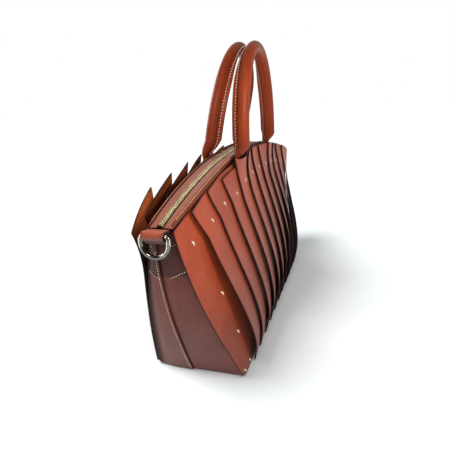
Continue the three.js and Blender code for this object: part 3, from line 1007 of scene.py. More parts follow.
@dataclass
class Gussets:
    """The two ends: each has a back half that laps over its front half, stitched beside the cut edge.

    Attributes:
        under_edge: Place of the front half's hidden edge in half depths, below 0 past the middle line.
        over_edge: Place of the back half's cut edge in half depths.
        ease: Places in half depths between which the back half steps down from the lap.
        edge_inset: Distance of the stitches from that cut edge.
        edge_span: Heights in t between which they run.
        cross_seams: Rows across the halves, at three quarters of the height and by the ring tab.
    """

    body: Body
    columns: int = 26
    rows: int = 56
    foot: float = 0.004
    top: float = 0.985
    under_edge: float = -0.48
    over_edge: float = 0.13
    ease: Span = (0.56, 0.95)
    edge_inset: float = 1.9
    edge_span: Span = (0.03, 0.9)
    cross_seams: tuple[CrossSeam, ...] = (
        CrossSeam(Side.BACK, start=0.2, stop=0.9, height=0.738, slope=0.045),
        CrossSeam(Side.FRONT, start=0.2, stop=0.95, height=0.742, slope=0.045),
        CrossSeam(Side.BACK, start=0.5, stop=0.97, height=0.905, slope=0.022),
        CrossSeam(Side.FRONT, start=0.5, stop=0.97, height=0.905, slope=0.022),
    )
    stitch: Stitching = Stitching(pitch=2.15, length=1.5, thickness=0.46)
    edge: float = 0.35

    def surface(self, end: End, side: Side, across: Array, t: Array, offset: float) -> Array:
        """Points of one half: a bulge, round across and growing with height; the over half steps out a wall.

        Args:
            end: End of the bag.
            side: Half of the gusset.
            across: 0 on the middle line to 1 at the wall, below 0 past the middle.
            t: Height on the body.
            offset: Distance outwards.

        Returns:
            Points by row and column.
        """
        gap = self.body.wall + self.body.seam_gap
        bulge = self.body.end_bulge * np.sqrt(t) * (1.0 - across**2)
        step = 0.0 if side is Side.FRONT else gap * (1.0 - smoothstep(across, *self.ease))
        return points(end.value * (self.body.half_length(t) + bulge + step + offset),
                      side.value * across * self.body.half_depth(1.0, t), t * self.body.top_height(1.0))

    def half(self, end: End, side: Side) -> Shell:
        """One half: its surface at two offsets, its height and its distance from the wall in the UV map.

        Args:
            end: End of the bag.
            side: Half of the gusset.

        Returns:
            The closed sheet.
        """
        first = self.under_edge if side is Side.FRONT else self.over_edge
        across = lerp(first, 1.0, edged_steps(self.columns, edge=0.02))[None, :]
        up = np.linspace(0.0, 1.0, self.rows + 1)[:, None]
        t = lerp(self.foot + self.body.foot_round(across), self.top, up)
        outer = self.surface(end, side, across, t, 0.0)
        # The back half's distance from the wall sets the hide's wide edge band, painted shade along that
        # edge; the front half is kept clear of it.
        to_wall = np.abs(outer[:, -1:, 1] - outer[..., 1]) + (CLEAR_OF_EDGE if side is Side.FRONT else 0.0)
        run = np.stack([outer[..., 2], to_wall], axis=-1).reshape(-1, 2)
        return leaf(outer, self.surface(end, side, across, t, -self.body.wall), run)

    def seam(self, end: End, side: Side, across: Array, t: Array) -> Shell:
        """Stitches along a line of places on one half.

        Args:
            end: End of the bag.
            side: Half of the gusset.
            across: Places from the middle line to the wall.
            t: Their heights on the body.

        Returns:
            One shell of all stitches.
        """
        path = self.surface(end, side, across, t, 0.0)
        return self.stitch.along(path, np.tile([float(end.value), 0.0, 0.15], (len(path), 1)))

    def stitches(self, end: End) -> Shell:
        """Rows beside the lapped edge and across both halves.

        Args:
            end: End of the bag.

        Returns:
            One shell of all rows.
        """
        up = np.linspace(*self.edge_span, 60)
        beside_edge = self.over_edge + self.edge_inset / self.body.half_depth(1.0, up)
        made = [self.seam(end, Side.BACK, beside_edge, up)]
        for row in self.cross_seams:
            across = np.linspace(row.start, row.stop, 12)
            made.append(self.seam(end, row.side, across, row.height + row.slope * across))
        return joined(made)

    def build(self) -> None:
        """Makes the halves and stitches of both ends."""
        for end in End:
            for side in Side:
                name = f"gusset_{end.label}_{side.label}"
                half = self.half(end, side)
                add_piece(f"{name}_half", half, [DARK, EDGE], [name], edge=self.edge)
            add_piece(f"gusset_{end.label}_stitches", self.stitches(end), [CREAM])


# Slats


@dataclass(frozen=True)
class Flare:
    """How the tops of the leaves lean out: height where it starts, power and reach."""

    start: float
    power: float
    reach: float

    def at(self, t: Array) -> Array:
        """The lean at height t: a power of the way from the start to the top."""
        return self.reach * np.maximum(0.0, (t - self.start) / (1.0 - self.start)) ** self.power


@dataclass
class Slats:
    """Overlapping leather leaves on both walls, each free along its leading edge and held by a thread tack.

    Attributes:
        count: Leaves on each face.
        pitch: Step in w from one leaf to the next.
        width: Width in w of a leaf that isn't cut off at the end of the wall.
        seat: Height of a tucked edge over the wall.
        lap_lift: Height of a free edge over that, higher up the leaf.
        foot_lift: The same at the foot, where it eases to the other up to foot_ease.
        first_lift: The same for the first leaf, which lies flat.
        first_overhang: How far in w the first leaf stands past the end of the wall.
        sweep: How far in w a free edge is swept out at the top, from sweep_start up.
        foot: Height in t of a foot, to which foot_trim is added at a free edge.
        corners: Extra height in t of some leaves' free corners, by leaf.
        front_tops: Height in t of the front leaves' tops.
        back_top: Height in t of a back leaf's top at its free and its tucked edge.
        swells: Extra height of the free edges at the belly.
        handle_span: How far along the bag a handle leg pushes the leaves out.
        end_span: Places in w over which the lean grows to the far end of a face.
        tip_span: Places in w over which the back's free corners come to lean.
        leg_span: Places in w about the near handle leg over which the front's lean begins.
        ripple: Height of a slow wave up each leaf.
        ripple_turn: Its angle from foot to top, in radians, as the next two are.
        ripple_shift: How much further on it starts with each leaf.
        ripple_back: How much further on it starts on the back.
        tack_offset: Place in w of a tack on its leaf, and tack_height its height in v.
        first_tacks: Places in w and v of the first leaf's other tacks.
        tack_lean: How far a tack is turned to the tucked side, as a share of the way down.
        tack_clearance: Height of a tack's middle over its leaf.
    """

    body: Body
    count: int = 12
    pitch: float = 0.161
    width: float = 0.28
    wall: float = 1.3
    seat: float = 0.5
    lap_lift: float = 4.1
    first_lift: float = 0.5
    first_overhang: float = 0.02
    sweep: float = 0.055
    sweep_start: float = 0.84
    foot: float = 0.008
    foot_trim: float = 0.006
    foot_lift: float = 2.7
    foot_ease: float = 0.2
    corners: dict[int, float] = field(default_factory=lambda: {4: 0.03, 5: 0.02, 8: 0.01})
    corner_power: int = 8
    front_tops: tuple[float, ...] = (1.0, 1.005, 1.005, 0.985, *(8 * (1.012,)))
    back_top: Span = (1.01, 0.965)
    swells: tuple[float, ...] = (0.0, 6.95, *(6 * (3.95,)), *(4 * (4.95,)))
    handle_span: float = 35.0
    end_span: Span = (0.4, 1.0)
    tip_span: Span = (-0.3, 0.6)
    leg_span: Span = (-0.47, -0.2)
    handle_flare: Flare = Flare(start=0.8, power=1.5, reach=6.5)
    front_flare: Flare = Flare(start=0.8, power=1.5, reach=2.4)
    far_flare: Flare = Flare(start=0.5, power=1.3, reach=9.0)
    back_flare: Flare = Flare(start=0.45, power=1.7, reach=5.0)
    end_flare: Flare = Flare(start=0.7, power=2.6, reach=12.0)
    tip_flare: Flare = Flare(start=0.6, power=1.5, reach=7.8)
    ripple: float = 0.28
    ripple_turn: float = 7.0
    ripple_shift: float = 2.4
    ripple_back: float = 1.3
    columns: int = 16
    rows: int = 56
    tack_offset: float = 0.09
    tack_height: float = 0.866
    first_tacks: tuple[Span, ...] = ((-0.857, 0.535), (-0.871, 0.28), (-0.866, 0.03), (-0.961, 0.025))
    tack: Stitching = Stitching(length=5.2, thickness=1.6, sink=0.6, bend=0.7)
    tack_lean: float = 0.32
    tack_clearance: float = 0.32
    edge: float = 0.38

    def flare(self, w: Array, t: Array, u: Array, side: Side) -> Array:
        """How far a leaf leans out: more to the end, at the back's free corners and by the front's handle.

        Args:
            w: Place along the wall.
            t: Height on it.
            u: 0 at the leaf's free edge to 1 at its tucked edge.
            side: Face of the bag.

        Returns:
            The lean at each place.
        """
        to_end = smoothstep(w, *self.end_span)
        if side is Side.BACK:
            to_tip = smoothstep(w, *self.tip_span) * (1.0 - u)
            return self.back_flare.at(t) + self.end_flare.at(t) * to_end + self.tip_flare.at(t) * to_tip
        x = self.body.top_half_length * w
        by_leg = sum(np.exp(-(((x - leg) / self.handle_span) ** 2)) for leg in (-HANDLE_LEG, HANDLE_LEG))
        past_leg = smoothstep(w, *self.leg_span)
        return (self.front_flare.at(t) * past_leg + self.far_flare.at(t) * to_end
                + self.handle_flare.at(t) * by_leg)

    def span(self, index: int) -> Span:
        """Where a leaf starts in w, and how wide it is."""
        start = -1.0 + self.pitch * index
        return start, min(self.width, 1.0 - start)

    def surface(self, index: int, side: Side, u: Array, v: Array, offset: float) -> Array:
        """Points of a leaf: a strip of the wall, raised to its free edge, that sweeps and flares at the top.

        Args:
            index: Which leaf, from the leading end.
            side: Face of the bag.
            u: 0 at the free edge to 1 at the tucked edge.
            v: 0 at the foot to 1 at the top.
            offset: Distance off the leaf's inner face.

        Returns:
            Points by row and column.
        """
        start, width = self.span(index)
        first = index == 0
        low = self.foot + (0.0 if first else self.foot_trim) * (1.0 - u)
        if index in (0, self.count - 1):
            low = low + self.body.foot_round(1.0 - u if first else u)
        if side is Side.FRONT:
            high = self.front_tops[index] + self.corners.get(index, 0.0) * (1.0 - u) ** self.corner_power
        else:
            high = lerp(*self.back_top, u)
        t = lerp(low, high, v)
        late = np.maximum(0.0, (t - self.sweep_start) / (1.0 - self.sweep_start))
        swept = self.first_overhang if first else self.sweep * late
        w = start + u * width - swept * (1.0 - u)
        eased = lerp(self.foot_lift, self.lap_lift, smoothstep(t, 0.0, self.foot_ease))
        rise = self.first_lift if first else eased
        phase = self.ripple_shift * index + (0.0 if side is Side.FRONT else self.ripple_back)
        wave = self.ripple * np.sin(self.ripple_turn * t + phase) * self.body.swell(t)
        lift = (rise + self.swells[index] * self.body.swell(t) + wave) * (1.0 - u)
        return self.body.on_wall(w, t, self.seat + lift + self.flare(w, t, u, side) + offset, side)

    def strip(self, index: int, side: Side) -> Shell:
        """One leaf: its surface at two offsets.

        Args:
            index: Which leaf.
            side: Face of the bag.

        Returns:
            The closed sheet.
        """
        u = edged_steps(self.columns, edge=0.025)[None, :]
        v = edged_steps(self.rows, edge=0.006)[:, None]
        return leaf(self.surface(index, side, u, v, self.wall), self.surface(index, side, u, v, 0.0))

    def tack_places(self) -> list[tuple[int, float, float]]:
        """Lists the thread tacks: one near the top of every leaf, and more down the first.

        Returns:
            Leaf, u and v of each tack.
        """
        starts, widths = zip(*(self.span(index) for index in range(self.count)))
        found = [(index, start + self.tack_offset, self.tack_height) for index, start in enumerate(starts)]
        found += [(0, w, v) for w, v in self.first_tacks]
        return [(index, (w - starts[index]) / widths[index], v) for index, w, v in found]

    def tacks(self, side: Side) -> Shell:
        """Thread tacks: short bent rolls that lie down the leaf, turned a little to its tucked side.

        Args:
            side: Face of the bag.

        Returns:
            One shell of all tacks.
        """
        step = 0.02
        template = self.tack.roll()
        made = []
        for index, u, v in self.tack_places():
            place, right, up = (self.surface(index, side, np.array(u + du), np.array(v + dv), self.wall)
                                for du, dv in ((0.0, 0.0), (step, 0.0), (0.0, step)))
            across, rise = unit(right - place), unit(up - place)
            off = unit(np.cross(across, rise))
            ahead = unit(-rise + self.tack_lean * across)
            axes = np.stack([ahead, np.cross(off, ahead), off])
            made.append(scattered(template, (place + self.tack_clearance * off)[None], axes[None]))
        return joined(made)

    def declare(self, shell: Shell) -> None:
        """Reads a leaf's tallest column and the crossed diagonals of its faces, and keeps neither.

        Args:
            shell: Its mesh.
        """
        corners = (self.rows + 1) * (self.columns + 1)
        grid = shell.points[:corners].reshape(self.rows + 1, self.columns + 1, 3)
        tall = max(path_length(column) for column in grid.swapaxes(0, 1))
        face = shell.points[shell.faces[0]]
        crossed = np.cross(face[:, 2] - face[:, 0], face[:, 3] - face[:, 1])

    def build(self) -> None:
        """Makes the leaves and tacks of both faces."""
        for side in Side:
            for index in range(self.count):
                name = f"{side.label}_slat_{index + 1:02d}"
                shell = self.strip(index, side)
                finishes = [TAN, EDGE, FLESH]
                piece = add_piece(f"{name}_leaf", shell, finishes, [name], edge=self.edge)
                self.declare(shell)
            add_piece(f"{side.label}_tacks", self.tacks(side), [CREAM])


# Zip and plackets


@dataclass
class Zip:
    """Zip along the top edge: two tapes, two rows of teeth that mesh, and a slider with its pull.

    Heights are over the top edge, and the slider's other places are lengths along X from its start.

    Attributes:
        end: Share of the top's half length that the zip runs to.
        tooth_slant: Turn of a tooth's head towards the far end, in degrees.
        tape_reach: How far each tape runs past the wall's face, below 0 where it stops short.
        slider_start: Place of the slider's near end along the bag.
        slider_waist: Width of that end, as a share of the slider's full width.
        slider_power: Power that squares the slider's sections, 1 for round.
        bridge_middle: Middle of the bridge over the slider.
        bridge_wire: Half thickness of the bridge at its feet, and what its middle has more.
        pull_overlap: How far the pull reaches in over the slider, under its bridge.
        pull_waist: Width of the pull at the bridge, as a share of its full width.
    """

    body: Body
    end: float = 1.01
    steps: int = 110
    teeth_half_width: float = 2.5
    teeth_low: float = 0.3
    teeth_high: float = 3.3
    teeth_margin: float = 1.6
    tooth_pitch: float = 2.35
    tooth_slant: float = 14.0
    tape_low: float = 1.0
    tape_thickness: float = 0.9
    tape_reach: dict[Side, float] = field(default_factory=lambda: {Side.FRONT: 1.0, Side.BACK: -0.9})
    slider_start: float = 174.0
    slider_length: float = 12.0
    slider_half_width: float = 2.6
    slider_low: float = 0.4
    slider_high: float = 4.6
    slider_waist: float = 0.82
    slider_power: float = 0.4
    bridge_middle: float = 6.4
    bridge_half_span: float = 4.6
    bridge_half_width: float = 1.25
    bridge_low: float = 4.3
    bridge_rise: float = 1.75
    bridge_wire: Span = (0.55, 0.2)
    pull_length: float = 24.0
    pull_overlap: float = 5.0
    pull_half_width: float = 2.45
    pull_waist: float = 0.72
    pull_thickness: float = 1.2
    pull_high: float = 5.05
    pull_clearance: float = 1.2
    edge: float = 0.25

    def tape(self, side: Side) -> Shell:
        """A tape: straight across from the teeth to under the placket, its length and breadth in the UV map.

        Args:
            side: Face of the bag.

        Returns:
            The closed sheet.
        """
        w = self.end * np.linspace(-1.0, 1.0, self.steps + 1)[None, :]
        x = w * self.body.top_half_length
        inner = self.teeth_half_width + self.body.seam_gap
        outer = self.body.half_depth(w, 1.0) + self.tape_reach[side]
        across = lerp(inner, outer, np.linspace(0.0, 1.0, 7)[:, None])
        run = points(x, across, 0.0)[..., :2].reshape(-1, 2)
        top = self.body.over_zip(x, side.value * across, self.tape_low + self.tape_thickness)
        return leaf(top, self.body.over_zip(x, side.value * across, self.tape_low), run)

    @staticmethod
    def tooth() -> Shell:
        """One tooth along y, from its root on the tape to its head past the middle: boxes with cut corners.

        Returns:
            A small closed shell about the origin.
        """
        sections = np.array([  # y, half length, half height, drop
            [-2.3, 0.30, 1.05, 0.25],
            [-2.1, 0.50, 1.35, 0.15],
            [-0.6, 0.58, 1.5, 0.0],
            [0.25, 0.60, 1.45, 0.0],
            [0.75, 0.46, 1.15, 0.1],
            [0.95, 0.24, 0.8, 0.2],
        ])
        y, long, high, drop = (column[:, None] for column in sections.T)
        turn = (np.arange(8)[None, :] + 0.5) * np.pi / 4.0
        cut = 1.15 / np.maximum(np.abs(np.cos(turn)), np.abs(np.sin(turn))) ** 0.5
        return tube(points(np.clip(long * cut * np.cos(turn), -long, long), y,
                           np.clip(high * cut * np.sin(turn), -high, high) - drop))

    def teeth(self) -> Shell:
        """Both rows: the tooth repeated along the arched edge, half a pitch apart and slanted in chevrons.

        Returns:
            One shell of all teeth.
        """
        first = -self.end * self.body.top_half_length + self.teeth_margin
        last = self.slider_start + 0.5 * self.slider_length
        middle = 0.5 * (self.teeth_low + self.teeth_high)
        slant = np.radians(self.tooth_slant)
        made = []
        for side in Side:
            shift = 0.0 if side is Side.FRONT else 0.5 * self.tooth_pitch
            x = np.arange(first + shift, last, self.tooth_pitch)
            ahead = unit(self.body.over_zip(x + 0.5, 0.0, middle) - self.body.over_zip(x - 0.5, 0.0, middle))
            aside = np.tile([0.0, -float(side.value), 0.0], (len(x), 1))
            turned = unit(np.cos(slant) * aside + np.sin(slant) * ahead)
            up = np.cross(ahead, np.tile([0.0, 1.0, 0.0], (len(x), 1)))
            axes = np.stack([np.cross(turned, up), turned, up], axis=1)
            made.append(scattered(self.tooth(), self.body.over_zip(x, 0.0, middle), axes))
        return joined(made)

    def slider(self) -> Shell:
        """Slider: a body lofted through rounded squares, a bridge bent over it, and the pull laid back.

        Returns:
            One shell of the three.
        """
        s = np.linspace(0.0, 1.0, 15)[:, None]
        turn = full_turn(28)
        round_off = np.sqrt(np.sqrt(np.maximum(0.05, 1.0 - (2.0 * s - 1.0) ** 8)))
        square_cos, square_sin = (np.sign(wave) * np.abs(wave) ** self.slider_power
                                  for wave in (np.cos(turn), np.sin(turn)))
        half = self.slider_half_width * round_off * lerp(self.slider_waist, 1.0, smoothstep(s, 0.2, 0.8))
        middle, tall = 0.5 * (self.slider_low + self.slider_high), 0.5 * (self.slider_high - self.slider_low)
        x = self.slider_start + self.slider_length * s
        block = tube(self.body.over_zip(x, half * square_cos, middle + tall * round_off * square_sin))
        arch = np.linspace(0.0, np.pi, 19)[:, None]
        feet, more = self.bridge_wire
        wire = (feet + more * np.sin(arch)) * np.cos(turn)
        bridge = tube(self.body.over_zip(
            self.slider_start + self.bridge_middle - (self.bridge_half_span + wire) * np.cos(arch),
            self.bridge_half_width * np.sin(turn),
            self.bridge_low + (self.bridge_rise + wire) * np.sin(arch)))
        return joined([block, bridge, self.pull()])

    def pull(self) -> Shell:
        """Pull: a flat tongue with a waist and a round end, falling from the bridge to just over the teeth.

        Returns:
            The closed tongue.
        """
        u = np.linspace(0.0, 1.0, 34)[None, :]
        v = np.linspace(-1.0, 1.0, 9)[:, None]
        x = self.slider_start + self.pull_overlap - (self.pull_length + self.pull_overlap) * u
        rounded = np.sqrt(np.maximum(0.02, 1.0 - np.abs(2.0 * u - 1.0) ** 9))
        y = v * self.pull_half_width * rounded * lerp(self.pull_waist, 1.0, smoothstep(u, 0.3, 0.75))
        low = lerp(self.pull_high, self.teeth_high + self.pull_clearance, smoothstep(u, 0.1, 1.0))
        return leaf(self.body.over_zip(x, y, low + self.pull_thickness), self.body.over_zip(x, y, low))

    def build(self) -> None:
        """Makes the tapes, the teeth and the slider."""
        for side in Side:
            name = f"zip_tape_{side.label}"
            add_piece(f"{name}_weave", self.tape(side), [TAPE], [name])
        add_piece("zip_teeth_rows", self.teeth(), [BRASS], ["zip_teeth"])
        add_piece("zip_slider_and_pull", self.slider(), [BRASS], ["zip_slider"], edge=self.edge)


@dataclass(frozen=True)
class Band:
    """Sizes of one placket.

    Attributes:
        inner: Reach of its inner edge past the wall's face.
        outer: Reach of its outer edge.
        fall: How far the outer edge is turned down.
        notch: How much narrower it is from the near handle leg on.
        taper: How far it draws in at the near end.
        stitch_inset: Distance of the stitches from the inner edge.
        stitch_end: How far along the bag they run, as a share of its half length.
    """

    inner: float
    outer: float
    fall: float
    notch: float
    taper: float
    stitch_inset: float
    stitch_end: float


@dataclass
class Plackets:
    """Leather bands along the zip, each with a row of stitches beside its inner edge.

    Attributes:
        end: Share of the top's half length that a band runs to.
        high: Height of its underside over the top edge.
        notch_span: Length over which it narrows before the near handle leg.
        taper_start: Share of the half length where the near end begins to draw in.
        stitch_start: Share of the half length where the stitches begin.
    """

    body: Body
    end: float = 1.01
    steps: int = 110
    rows: int = 12
    high: float = 2.7
    wall: float = 1.3
    bands: dict[Side, Band] = field(default_factory=lambda: {
        Side.FRONT: Band(inner=0.3, outer=3.2, fall=1.6, notch=1.1, taper=1.2,
                         stitch_inset=1.2, stitch_end=-0.36),
        Side.BACK: Band(inner=-1.3, outer=1.4, fall=4.0, notch=0.0, taper=0.0,
                        stitch_inset=1.6, stitch_end=0.98),
    })
    notch_span: float = 15.0
    taper_start: float = 0.8
    stitch_start: float = -0.98
    stitch: Stitching = Stitching(pitch=2.5, length=1.75, thickness=0.8)
    edge: float = 0.35

    def surface(self, side: Side, w: Array, v: Array, offset: float) -> Array:
        """Points of a band: it falls by the square of v, and narrows past a handle leg and at the near end.

        Args:
            side: Face of the bag.
            w: Place along X, as a share of the half length.
            v: 0 over the tape to 1 over the wall.
            offset: Distance off the band's underside.

        Returns:
            Points by row and column.
        """
        band = self.bands[side]
        x = w * self.body.top_half_length
        to_leg = np.maximum(0.0, -HANDLE_LEG - x) / self.notch_span
        drawn_in = band.taper * smoothstep(-w, self.taper_start, 1.0)
        reach = band.outer - band.notch * np.exp(-(to_leg**2)) - drawn_in
        depth = self.body.half_depth(w, 1.0) + lerp(band.inner, reach, v)
        fall = band.fall * (reach - band.inner) / (band.outer - band.inner)
        return self.body.over_zip(x, side.value * depth, self.high - v * v * fall + offset)

    def band(self, side: Side) -> Shell:
        """One band: its surface at two offsets.

        Args:
            side: Face of the bag.

        Returns:
            The closed sheet.
        """
        w = self.end * np.linspace(-1.0, 1.0, self.steps + 1)[None, :]
        v = edged_steps(self.rows, edge=0.04)[:, None]
        return leaf(self.surface(side, w, v, self.wall), self.surface(side, w, v, 0.0))

    def stitches(self, side: Side) -> Shell:
        """The row of stitches, a fixed share of the band from its inner edge.

        Args:
            side: Face of the bag.

        Returns:
            One shell of all stitches.
        """
        band = self.bands[side]
        w = np.linspace(self.stitch_start, band.stitch_end, 160)
        share = band.stitch_inset / (band.outer - band.inner)
        path = self.surface(side, w, np.full_like(w, share), self.wall)
        return self.stitch.along(path, np.tile([0.0, 0.0, 1.0], (len(w), 1)))

    def build(self) -> None:
        """Makes both bands and their stitches."""
        for side in Side:
            name = f"{side.label}_placket"
            add_piece(f"{name}_band", self.band(side), [PLACKET_HIDE_SHADED], [name], edge=self.edge)
            add_piece(f"{name}_stitches", self.stitches(side), [GOLD])


# Handles and rings


@dataclass(frozen=True)
class HandleLine:
    """Course of one handle across the bag.

    Attributes:
        side: Face that it stands on.
        spring: Depth where its arch begins.
        crown: Depth at the top of its arch.
        twist: Extra depth of its far leg.
        leg_depths: Depths up a leg, at the heights of the leg's sections.
    """

    side: Side
    spring: float
    crown: float
    twist: float
    leg_depths: tuple[float, ...]

    @property
    def inwards(self) -> Array:
        """Direction from the handle to the zip."""
        return np.array([0.0, -float(self.side.value), 0.0])


@dataclass
class Handles:
    """Two rolled leather arches with a stitched flange towards the zip, flattened where they enter the bag.

    Attributes:
        spring_height: Height where the arch begins.
        rise: Height of the arch over that.
        radius: Radius of the roll.
        flange_leg: Depth of the flange at the spring, and flange_crown at the top of the arch.
        flange_narrows: Share of the rise from which it goes from one to the other.
        flange_angle: Half the gap that it takes out of the round section, in degrees.
        flange_shape: Its outline from the roll round its edge: share of its wall aside, and of its depth.
        leg_heights: Heights of a leg's sections, whose half width, half thickness and flange follow.
        stitch_depth: Distance of the stitches from the roll, at most stitch_share of the flange.
        stitch_from: Depth of the flange where they begin.
        fill: How tightly a roll is filled; not used.
    """

    lines: tuple[HandleLine, ...] = (
        HandleLine(Side.FRONT, spring=23.0, crown=21.9, twist=0.0,
                   leg_depths=(14.8, 15.8, 17.2, 19.4, 22.5)),
        HandleLine(Side.BACK, spring=9.4, crown=-5.5, twist=7.5,
                   leg_depths=(14.8, 15.0, 15.4, 15.2, 12.7)),
    )
    spring_height: float = 196.0
    rise: float = 86.0
    radius: float = 5.9
    flange_half_wall: float = 1.2
    flange_leg: float = 4.7
    flange_crown: float = 1.6
    flange_narrows: float = 0.55
    flange_angle: float = 14.0
    flange_shape: tuple[Span, ...] = (
        (-1.0, 0.35), (-1.0, 0.85), (-0.6, 1.0), (0.6, 1.0), (1.0, 0.85), (1.0, 0.35))
    leg_heights: tuple[float, ...] = (164.0, 173.0, 179.0, 183.0, 188.5)
    leg_wide: tuple[float, ...] = (6.0, 6.4, 6.6, 6.2, 5.9)
    leg_thick: tuple[float, ...] = (0.75, 1.5, 2.6, 3.9, 5.6)
    leg_flange: tuple[float, ...] = (0.0, 0.0, 0.3, 1.7, 2.9)
    leg_steps: int = 22
    arch_steps: int = 72
    sides: int = 34
    stitch: Stitching = Stitching(pitch=2.9, length=1.75, thickness=0.85)
    stitch_depth: float = 1.4
    stitch_share: float = 0.6
    stitch_from: float = 1.0
    fill: float = 0.95

    def leg(self, line: HandleLine, end: End) -> tuple[Array, Array, Array]:
        """Sections of one leg from its tucked foot up, by a smooth curve through the table of leg sections.

        Args:
            line: Course of the handle.
            end: Which leg.

        Returns:
            Centres, directions across, and rows of half width, half thickness and flange.
        """
        knots = np.array([*self.leg_heights, self.spring_height])
        turned = line.twist * smoothstep(knots, self.leg_heights[1], self.spring_height)
        table = np.stack([
            np.array([*line.leg_depths, line.spring]) + (turned if end is End.FAR else 0.0),
            np.array([*self.leg_wide, self.radius]),
            np.array([*self.leg_thick, self.radius]),
            np.array([*self.leg_flange, self.flange_leg]),
        ], axis=1)
        z = np.linspace(knots[0], knots[-1], self.leg_steps + 1)[:-1]
        rows = hermite(z, knots, table)
        centres = points(end.value * HANDLE_LEG, line.side.value * rows[:, 0], z)
        across = np.tile([float(end.value), 0.0, 0.0], (len(z), 1))
        return centres, across, np.maximum(rows[:, 1:], 0.0)

    def arch(self, line: HandleLine) -> tuple[Array, Array, Array]:
        """Sections of the arch: half an ellipse from the near to the far leg, its depth following the rise.

        Args:
            line: Course of the handle.

        Returns:
            Centres, directions across, and rows of half width, half thickness and flange.
        """
        angle = np.linspace(np.pi, 0.0, self.arch_steps + 1)
        along, up = np.cos(angle), np.sin(angle)
        depth = lerp(line.spring + line.twist * (1.0 + along) / 2.0, line.crown, up)
        centres = points(HANDLE_LEG * along, line.side.value * depth, self.spring_height + self.rise * up)
        across = unit(points(along * self.rise, 0.0, up * HANDLE_LEG))
        flange = lerp(self.flange_leg, self.flange_crown, smoothstep(up, self.flange_narrows, 1.0))
        round_part = np.full_like(up, self.radius)
        return centres, across, np.stack([round_part, round_part, flange], axis=1)

    def course(self, line: HandleLine) -> tuple[Array, Array, Array]:
        """Sections of the whole handle, from the near foot over the arch to the far foot."""
        near, over, far = self.leg(line, End.NEAR), self.arch(line), self.leg(line, End.FAR)
        return tuple(np.concatenate([a, b, c[::-1]]) for a, b, c in zip(near, over, far))

    def roll(self, line: HandleLine) -> Shell:
        """The handle: an open circle carried along the course, its gap drawn out into a flat flange.

        Args:
            line: Course of the handle.

        Returns:
            The closed roll.
        """
        centres, across, rows = self.course(line)
        wide, thick, flange = (rows[:, [column]] for column in range(3))
        gap = np.radians(self.flange_angle)
        turn = np.linspace(gap, 2.0 * np.pi - gap, self.sides)[None, :]
        flat_aside = [np.full_like(wide, share * self.flange_half_wall) for share, _ in self.flange_shape]
        flat_inward = [thick + flange * share for _, share in self.flange_shape]
        aside = np.concatenate([wide * np.sin(turn), *flat_aside], axis=1)[..., None]
        inward = np.concatenate([thick * np.cos(turn), *flat_inward], axis=1)[..., None]
        return tube(centres[:, None] + aside * across[:, None] + inward * line.inwards)

    def stitches(self, line: HandleLine) -> Shell:
        """Rows of stitches on both faces of the flange, beside the groove of the roll.

        Args:
            line: Course of the handle.

        Returns:
            One shell of both rows.
        """
        centres, across, rows = self.course(line)
        kept = rows[:, 2] > self.stitch_from
        centres, across, rows = centres[kept], across[kept], rows[kept]
        inset = np.minimum(self.stitch_depth, self.stitch_share * rows[:, [2]])
        middle = centres + (rows[:, [1]] + inset) * line.inwards
        return joined([self.stitch.along(middle + face * self.flange_half_wall * across, face * across)
                       for face in (-1.0, 1.0)])

    def build(self) -> None:
        for line in self.lines:
            name = f"handle_{line.side.label}"
            piece = add_piece(f"{name}_roll", self.roll(line), [HANDLE_HIDE], [name])
            add_piece(f"{name}_stitches", self.stitches(line), [CREAM])


